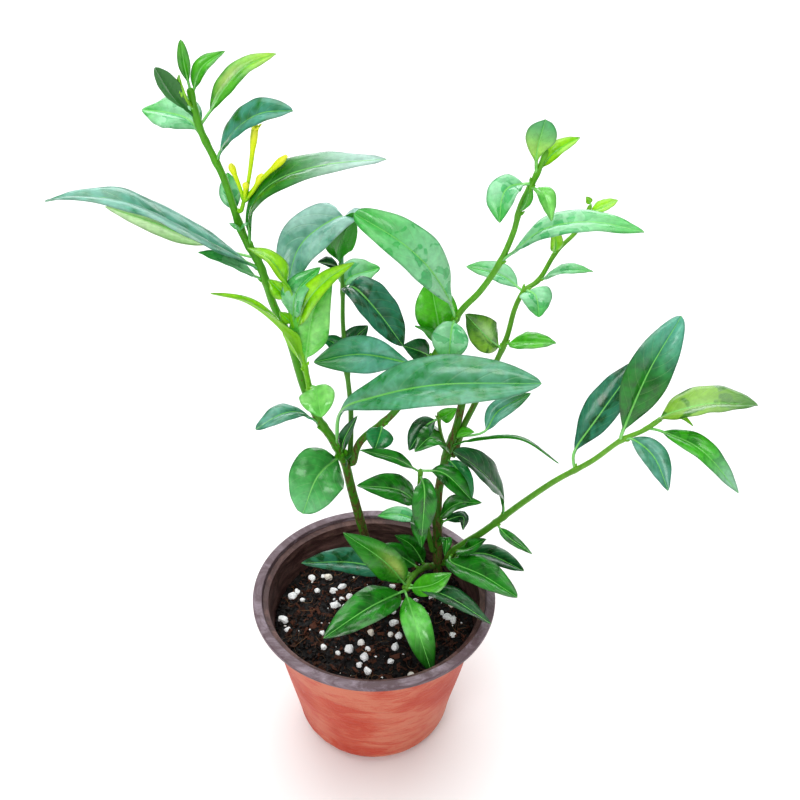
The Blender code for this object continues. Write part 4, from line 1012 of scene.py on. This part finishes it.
def grain_bodies():
    """Perlite: puffed grains. Each is a ball swollen by lumps, cut by flat breaks and pitted."""
    rng = np.random.default_rng(24)
    shape, faces = round_directions(4)
    spots = grain_spots()
    sizes = [GRAIN_SIZES[number % len(GRAIN_SIZES)] for number in range(len(spots))]
    spots += list(zip(*on_soil(DUST_GRAINS, rng, DUST_REACH)))
    sizes += list(rng.uniform(0.35, 0.9, DUST_GRAINS))
    bodies = []
    small, small_faces = round_directions(2)
    for (px, py), size in zip(spots, sizes):
        ball, ball_faces = (shape, faces) if size > 1 else (small, small_faces)
        radius = 1 + 0.26 * soft_noise(ball + rng.uniform(0, 30, 3), 0.85, 31)
        breaks = unit(rng.normal(0, 1, (GRAIN_BREAKS, 3)))
        for flat, far in zip(breaks, rng.uniform(0.72, 0.95, GRAIN_BREAKS)):
            radius = np.minimum(radius, far / np.maximum(ball @ flat, 0.05))
        radius = radius + 0.045 * soft_noise(ball + rng.uniform(0, 30, 3), 0.22, 32)
        stretch = np.array((rng.uniform(0.95, 1.3), rng.uniform(0.8, 1.1), rng.uniform(0.75, 1.0)))
        turn = rng.uniform(0, math.tau)
        cos, sin = math.cos(turn), math.sin(turn)
        spin = np.array(((cos, -sin, 0), (sin, cos, 0), (0, 0, 1)))
        points = (ball * radius[:, None] * stretch * size) @ spin.T
        height = float(soil_relief(np.float64(px), np.float64(py)))
        points = points + (px, py, height + 0.3 * size)
        bodies.append(Body(points, NO_QUADS, ball_faces, {"shade": np.full(len(points), rng.random())}))
    return bodies


# Finishes

def linear(colour):
    """An sRGB hex colour as linear red, green, blue and alpha."""
    parts = [int(colour[n:n + 2], 16) / 255 for n in (1, 3, 5)]
    return (*[p / 12.92 if p <= 0.04045 else ((p + 0.055) / 1.055) ** 2.4 for p in parts], 1.0)


def rgb(colour):
    """An sRGB hex colour as an array of linear red, green and blue."""
    return np.array(linear(colour)[:3])


def wire(node, sockets):
    """Set a node's inputs, or link them where the value is another node's output."""
    for key, value in sockets.items():
        if isinstance(value, bpy.types.NodeSocket):
            node.id_data.links.new(value, node.inputs[key])
        else:
            node.inputs[key].default_value = linear(value) if isinstance(value, str) else value


def add(tree, kind, sockets=(), operation=None, out=None, **settings):
    """Add a node with its settings and inputs, and give its output called out or its first in use.

    Inputs are a dictionary, or follow the order of those in use: Mix takes a share and two colours, and
    MapRange takes a value, from low and high, and to low and high.
    """
    made = tree.nodes.new("ShaderNode" + kind)
    if kind == "Mix":
        made.data_type = "RGBA"
    if operation:
        made.operation = operation
    for key, value in settings.items():
        setattr(made, key, value)
    if not isinstance(sockets, dict):
        in_use = [number for number, socket in enumerate(made.inputs) if socket.enabled]
        sockets = dict(zip(in_use, sockets))
    wire(made, sockets)
    return made.outputs[out] if out else next(socket for socket in made.outputs if socket.enabled)


def noise(place, size, detail=2.0, **more):
    """Noise read at a place, with clouds about a size across, in metres."""
    sockets = {"Vector": place, "Scale": 1 / size, "Detail": detail, **more}
    return add(place.id_data, "TexNoise", sockets)


def bump(height, distance, strength):
    """Relief from a pattern, for a shader's Normal."""
    return add(height.id_data, "Bump", {"Height": height, "Distance": distance, "Strength": strength})


COLOUR_MARKS = ("dry", "wet", "green")


def new_finish(name, marks="", **settings):
    """A material whose Principled shader has these settings.

    Gives it, its shader, add for its own nodes, the place on the piece that patterns read, and an output
    for each of the marks that the piece's points carry.
    """
    made = bpy.data.materials.new(name)
    made.use_nodes = True
    shader = made.node_tree.nodes["Principled BSDF"]
    wire(shader, {key.replace("_", " "): value for key, value in settings.items()})
    put = partial(add, made.node_tree)
    carried = [put("Attribute", out="Color" if mark in COLOUR_MARKS else "Fac", attribute_name=mark)
               for mark in marks.split()]
    return made, shader, put, put("TexCoord", out="Object"), *carried


def leaf_finish():
    """Living leaf skin, a waxy cuticle under rain water: pale painted sheen in its colour, darker where the
    film lies.
    """
    made, shader, put, place, dry, wet, crisp, side_vein, from_rib, from_edge, blade, under = new_finish(
        "wet_leaf_cuticle", "dry wet crisp side_vein from_rib from_edge blade under",
        Coat_Roughness=0.12, IOR=1.5)

    # Film of water: noise about 8 mm across, cut where it passes a half, as sharply as the leaf says. The
    # skin takes the wet colour under the film, and elsewhere the colour outside the film, which on the pale
    # teal tones is painted sheen.
    blob = noise(place, 0.008, 1.5, Distortion=0.5)
    above = put("Math", (blob, 0.55), "SUBTRACT")
    steep = put("Math", (crisp, 3.5), "MULTIPLY")
    is_wet = put("Math", (above, steep, 0.5), "MULTIPLY_ADD", use_clamp=True)
    skin = put("Mix", (is_wet, dry, wet))

    # Uneven green, a few millimetres across, and painted shade that darkens the blade towards its edge
    patchy = noise(place, 0.003, 3.0)
    level = put("MapRange", (patchy, 0.3, 0.7, 0.86, 1.12))
    painted_edge_shade = put("MapRange", (from_edge, 0.1, 1.3, 0.6, 1.0))
    level = put("Math", (level, painted_edge_shade), "MULTIPLY")
    skin = put("VectorMath", (skin, level), "SCALE")

    # Side veins: thin pale lines where the vein number passes a half, fading at the edge
    part = put("Math", (side_vein,), "FRACT")
    offset = put("Math", (part, 0.5), "SUBTRACT")
    away = put("Math", (offset,), "ABSOLUTE")
    line = put("MapRange", (away, 0.015, 0.075, 1.0, 0.0), interpolation_type="SMOOTHSTEP")
    inner = put("MapRange", (from_edge, 0.4, 2.5))
    vein = put("Math", (line, inner), "MULTIPLY")
    vein_tint = put("Math", (vein, 0.08), "MULTIPLY")
    skin = put("Mix", (vein_tint, skin, "#b6dc8c"))

    # Midrib: pale green, narrower towards the tip, and the whole petiole
    rib = put("MapRange", (from_rib, 0.35, 0.9, 0.9, 0.0), interpolation_type="SMOOTHSTEP")
    petiole = put("MapRange", (blade, 0.0, 1.0, 0.8, 0.0))
    stalky = put("Math", (rib, petiole), "MAXIMUM")
    skin = put("Mix", (stalky, skin, "#8fda78"))

    # Underside: yellower and without the film
    back = put("Mix", (0.4, dry, "#3f8c1c"))
    skin = put("Mix", (under, skin, back))
    top_side = put("Math", (1.0, under), "SUBTRACT")
    film_here = put("Math", (is_wet, top_side), "MULTIPLY")
    coat = put("MapRange", (film_here, 0.0, 1.0, 0.35, 0.7))
    rough = put("MapRange", (film_here, 0.0, 1.0, 0.36, 0.26))

    # Relief: veins lie in fine grooves, and the skin between them is slightly pebbled
    pebble = noise(place, 0.0018)
    groove = put("Math", (vein, -1.2, pebble), "MULTIPLY_ADD")
    relief = bump(groove, 0.00012, 0.6)
    wire(shader, {"Base Color": skin, "Coat Weight": coat, "Roughness": rough, "Normal": relief})
    return made


def stem_finish():
    """Young stem skin under thin mottled bark: smooth bright green that turns brown and corky low down."""
    made, shader, put, place, green, bark = new_finish(
        "green_stem_and_bark", "green bark", Roughness=0.5, IOR=1.45)
    # Streaks 1 to 2 mm wide that run along the stem, so height is squeezed to a third
    drawn = put("Mapping", {"Vector": place, "Scale": (1.0, 1.0, 0.35)})
    streak = noise(drawn, 0.0021, 4.0, Roughness=0.6)
    spread = put("MapRange", (streak, 0.32, 0.68))
    over = put("Math", (spread, bark), "ADD")
    corky = put("MapRange", (over, 1.0, 1.25), interpolation_type="SMOOTHSTEP")
    level = put("MapRange", (streak, 0.3, 0.7, 0.8, 1.15))
    skin = put("VectorMath", (green, level), "SCALE")
    fleck = noise(place, 0.0012, 3.0)
    brown = put("Mix", (fleck, "#2c1e12", "#8a7c44"))
    skin = put("Mix", (corky, skin, brown))
    rough = put("MapRange", (corky, 0.0, 1.0, 0.38, 0.8))
    relief = bump(streak, 0.0004, 0.6)
    wire(shader, {"Base Color": skin, "Roughness": rough, "Normal": relief})
    return made


def flower_finish():
    """Waxy petals: lime yellow, greener towards the cup, with fine lengthwise mottling."""
    made, shader, put, place, along = new_finish("waxy_yellow_petal", "along", Roughness=0.4, IOR=1.4)
    mottle = noise(place, 0.0016)
    spread = put("MapRange", (mottle, 0.3, 0.7, -0.07, 0.07))
    at = put("Math", (along, spread), "ADD")
    ramp = put("ValToRGB", (at,))
    stops = ramp.node.color_ramp.elements
    stops[0].position, stops[0].color = 0.05, linear("#7cc010")
    stops[1].position, stops[1].color = 0.95, linear("#f2f44a")
    for position, colour in ((0.17, "#8ed010"), (0.24, "#b8e418"), (0.6, "#cdec1c"), (0.82, "#e8f420")):
        stops.new(position).color = linear(colour)
    relief = bump(mottle, 0.0002, 0.5)
    wire(shader, {"Base Color": ramp, "Normal": relief})
    return made


def pot_finish():
    """Blow-moulded polypropylene in two layers: satin terracotta outside, brown inside and over the rim."""
    made, shader, put, place, inner, rim = new_finish(
        "two_layer_polypropylene", "inner_layer rim", Roughness=0.45, IOR=1.49)

    # Dried splashes wiped round the wall: bands a few millimetres high and several centimetres long
    band = put("Mapping", {"Vector": place, "Rotation": (0.35, 0.3, 0.0), "Scale": (1.0, 1.0, 4.0)})
    smear = noise(band, 0.022, 6.0, Roughness=0.7, Distortion=1.2)
    broad = noise(place, 0.045)
    both = put("Math", (smear, broad), "MULTIPLY")
    chalk = put("MapRange", (both, 0.19, 0.36), interpolation_type="SMOOTHSTEP")
    chalk = put("Math", (chalk, 0.75), "MULTIPLY")
    clay = put("Mix", (broad, "#ac3318", "#d04e2c"))
    outside = put("Mix", (chalk, clay, "#d08468"))

    # Brown inner layer, scuffed lighter; the rim is grey from dust and rubbing and also from painted sheen,
    # with painted highlights in its paler scuffed spots
    scuff = put("MapRange", (smear, 0.45, 0.72))
    brown = put("Mix", (scuff, "#4c3230", "#866660"))
    rubbed_and_sheen = put("Mix", (scuff, "#624e54", "#a496a0"))
    inside = put("Mix", (rim, brown, rubbed_and_sheen))
    wall = put("Mix", (inner, outside, inside))
    rough = put("MapRange", (smear, 0.3, 0.7, 0.36, 0.6))
    grain = noise(place, 0.0012)
    height = put("Math", (smear, 4.0, grain), "MULTIPLY_ADD")
    relief = bump(height, 0.0003, 0.7)
    wire(shader, {"Base Color": wall, "Roughness": rough, "Normal": relief})
    return made


def earth_finish(name, dark, light, wetness, scale):
    """Damp plant matter: dark broken colour from one piece to the next, with a few wet glints."""
    made, shader, put, place, shade = new_finish(name, "shade", Roughness=0.8, IOR=1.4)
    mottle = noise(place, scale, 4.0, Roughness=0.7)
    spread = put("MapRange", (mottle, 0.35, 0.7))
    part = put("Math", (spread, 0.35, shade), "MULTIPLY_ADD", use_clamp=True)
    colour = put("Mix", (part, dark, light))
    rough = put("MapRange", (mottle, 0.3, 0.7, 0.95, wetness))
    relief = bump(mottle, 0.0005, 0.8)
    wire(shader, {"Base Color": colour, "Roughness": rough, "Normal": relief})
    return made


def perlite_finish():
    """Expanded volcanic glass: matte white with painted shade that greys its pits, and a cream tinge on some
    grains.
    """
    made, shader, put, place, shade = new_finish("expanded_perlite", "shade", Roughness=0.85, IOR=1.45)
    pits = put("TexVoronoi", {"Vector": place, "Scale": 1 / 0.0009})
    # Painted shade: the colour darkens towards the bottom of each pit
    pit_shade = put("MapRange", (pits, 0.1, 0.55, 0.82, 1.0))
    tinge = put("MapRange", (shade, 0.72, 0.9, 0.0, 0.55))
    white = put("Mix", (tinge, "#ffffff", "#f4e0c4"))
    colour = put("VectorMath", (white, pit_shade), "SCALE")
    relief = bump(pits, 0.0003, 0.8)
    wire(shader, {"Base Color": colour, "Normal": relief})
    return made


# Stage, light and camera

FLOOR_SIZE = 12.0
CAMERA_PLACE = (0.0, -0.437, 0.565)
CAMERA_PITCH = 35.48
CAMERA_YAW = 1.78
CAMERA_ROLL = 1.13
LENS = 45.0
SENSOR = 36.0
SKY_STRENGTH = 0.34
PANELS = (
    # name, place and aim in metres, width and depth, watts, colour
    ("top_panel", (-0.3, 0.5, 3.4), (0.0, 0.1, 0.2), 4.0, 4.0, 96.0, "#ffffff"),
    ("back_panel", (0.2, 3.2, 1.9), (0.0, 0.0, 0.25), 4.5, 1.4, 50.0, "#fafcff"),
    ("front_panel", (-0.8, -2.6, 2.3), (0.0, 0.0, 0.25), 2.6, 1.2, 42.0, "#ffffff"),
)


def build_stage():
    """A pale floor sheet with faint cloudiness, wide enough to fill every view."""
    half = FLOOR_SIZE / 2
    mesh = bpy.data.meshes.new("floor")
    mesh.from_pydata([(-half, -half, 0), (half, -half, 0), (half, half, 0), (-half, half, 0)], [],
                     [(0, 1, 2, 3)])
    made, shader, put, place = new_finish("matte_white_paper", Roughness=0.9)
    cloud = put("TexNoise", {"Vector": place, "Scale": 3.0})
    colour = put("Mix", (cloud, "#f4f4f3", "#fafaf9"))
    wire(shader, {"Base Color": colour})
    mesh.materials.append(made)
    linked("floor", mesh)


def build_lights():
    """Soft panels and a pale sky."""
    for name, place, aim, wide, deep, watts, colour in PANELS:
        data = bpy.data.lights.new(name, "AREA")
        data.shape = "RECTANGLE"
        data.size = wide
        data.size_y = deep
        data.energy = watts
        data.color = linear(colour)[:3]
        panel = linked(name, data)
        panel.location = place
        panel.rotation_euler = (Vector(aim) - Vector(place)).to_track_quat("-Z", "Y").to_euler()
    world = bpy.data.worlds.new("pale_sky")
    world.use_nodes = True
    wire(world.node_tree.nodes["Background"], {"Color": "#f4f7fa", "Strength": SKY_STRENGTH})
    bpy.context.scene.world = world


def build_camera():
    """The photograph's camera, from its pitch below level, yaw towards +X and roll."""
    pitch, yaw, roll = (math.radians(angle) for angle in (CAMERA_PITCH, CAMERA_YAW, CAMERA_ROLL))
    ahead = Vector((math.sin(yaw) * math.cos(pitch), math.cos(yaw) * math.cos(pitch), -math.sin(pitch)))
    level = Vector((math.cos(yaw), -math.sin(yaw), 0.0))
    rise = level.cross(ahead)
    right = level * math.cos(roll) + rise * math.sin(roll)
    up = rise * math.cos(roll) - level * math.sin(roll)
    data = bpy.data.cameras.new("photo_camera")
    data.lens = LENS
    data.sensor_width = SENSOR
    camera = linked("photo_camera", data)
    turn = Matrix((right, up, -ahead)).transposed().to_4x4()
    camera.matrix_world = Matrix.Translation(CAMERA_PLACE) @ turn
    bpy.context.scene.camera = camera


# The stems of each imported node

PLANT = {
    "left_leader": ("leader",),
    "crossing_branch": ("crossing",),
    "back_branch": ("back",),
    "lime_shoot": ("lime",),
    "centre_stem": ("trunk", "twig"),
    "upper_branch": ("upper",),
    "front_shoot": ("front",),
    "right_branch": ("right",),
    "low_rosette": ("rosette",),
}


def main():
    """Camera, stage and lights, then the plant node by node, the flowers, the pot and its soil."""
    bpy.context.scene.view_settings.view_transform = "Standard"
    bpy.context.scene.view_settings.look = "Medium High Contrast"
    build_camera()
    build_stage()
    build_lights()
    leaf_skin, stem_skin = leaf_finish(), stem_finish()
    for node, stems in PLANT.items():
        leaves = [leaf for stem in stems for leaf in LEAVES[stem]]
        slot = "young_leaf" if node == "lime_shoot" else "mature_leaf"
        buds = [bud_body(leaf) for leaf in leaves if leaf.at < BUD_LIMIT]
        piece(node + "_stem", [stem_body(name) for name in stems] + buds, stem_skin, slot, node)
        blades = [leaf_body(leaf, number) for number, leaf in enumerate(leaves)]
        piece(node + "_leaves", blades, leaf_skin, slot, node)

    tubes = [flower_body(FLOWER_TUBES[0], OPEN_RADII)]
    tubes += [flower_body(points, BUD_RADII) for points in FLOWER_TUBES[1:]]
    mouth = np.array(FLOWER_TUBES[0][-1], float)
    tubes += lobe_bodies(mouth, mouth - np.array(FLOWER_TUBES[0][-2], float))
    piece("yellow_flowers", tubes, flower_finish(), "flower", "flower_spray")
    piece("flower_stalk", [stem_body("flower_stalk")], stem_skin, "flower", "flower_spray")

    pot = piece("nursery_pot", [pot_body()], pot_finish(), "pot_plastic", "pot", sharp=40)
    drill_floor(pot)

    soil_skin = earth_finish("damp_potting_soil", "#060505", "#1c1312", 0.35, 0.0022)
    chip_skin = earth_finish("husk_chips", "#0c0807", "#5a3424", 0.5, 0.0016)
    fibre_skin = earth_finish("coir_fibre", "#20140f", "#94704e", 0.6, 0.002)
    piece("soil_surface", [soil_body()], soil_skin, "soil", "soil_with_perlite")
    piece("peat_crumbs", crumb_bodies(), soil_skin, "soil", "soil_with_perlite")
    piece("husk_chips", chip_bodies(), chip_skin, "soil", "soil_with_perlite", sharp=20)
    piece("coir_fibres", fibre_bodies(), fibre_skin, "soil", "soil_with_perlite")
    piece("perlite_grains", grain_bodies(), perlite_finish(), "soil", "soil_with_perlite", sharp=80)


main()
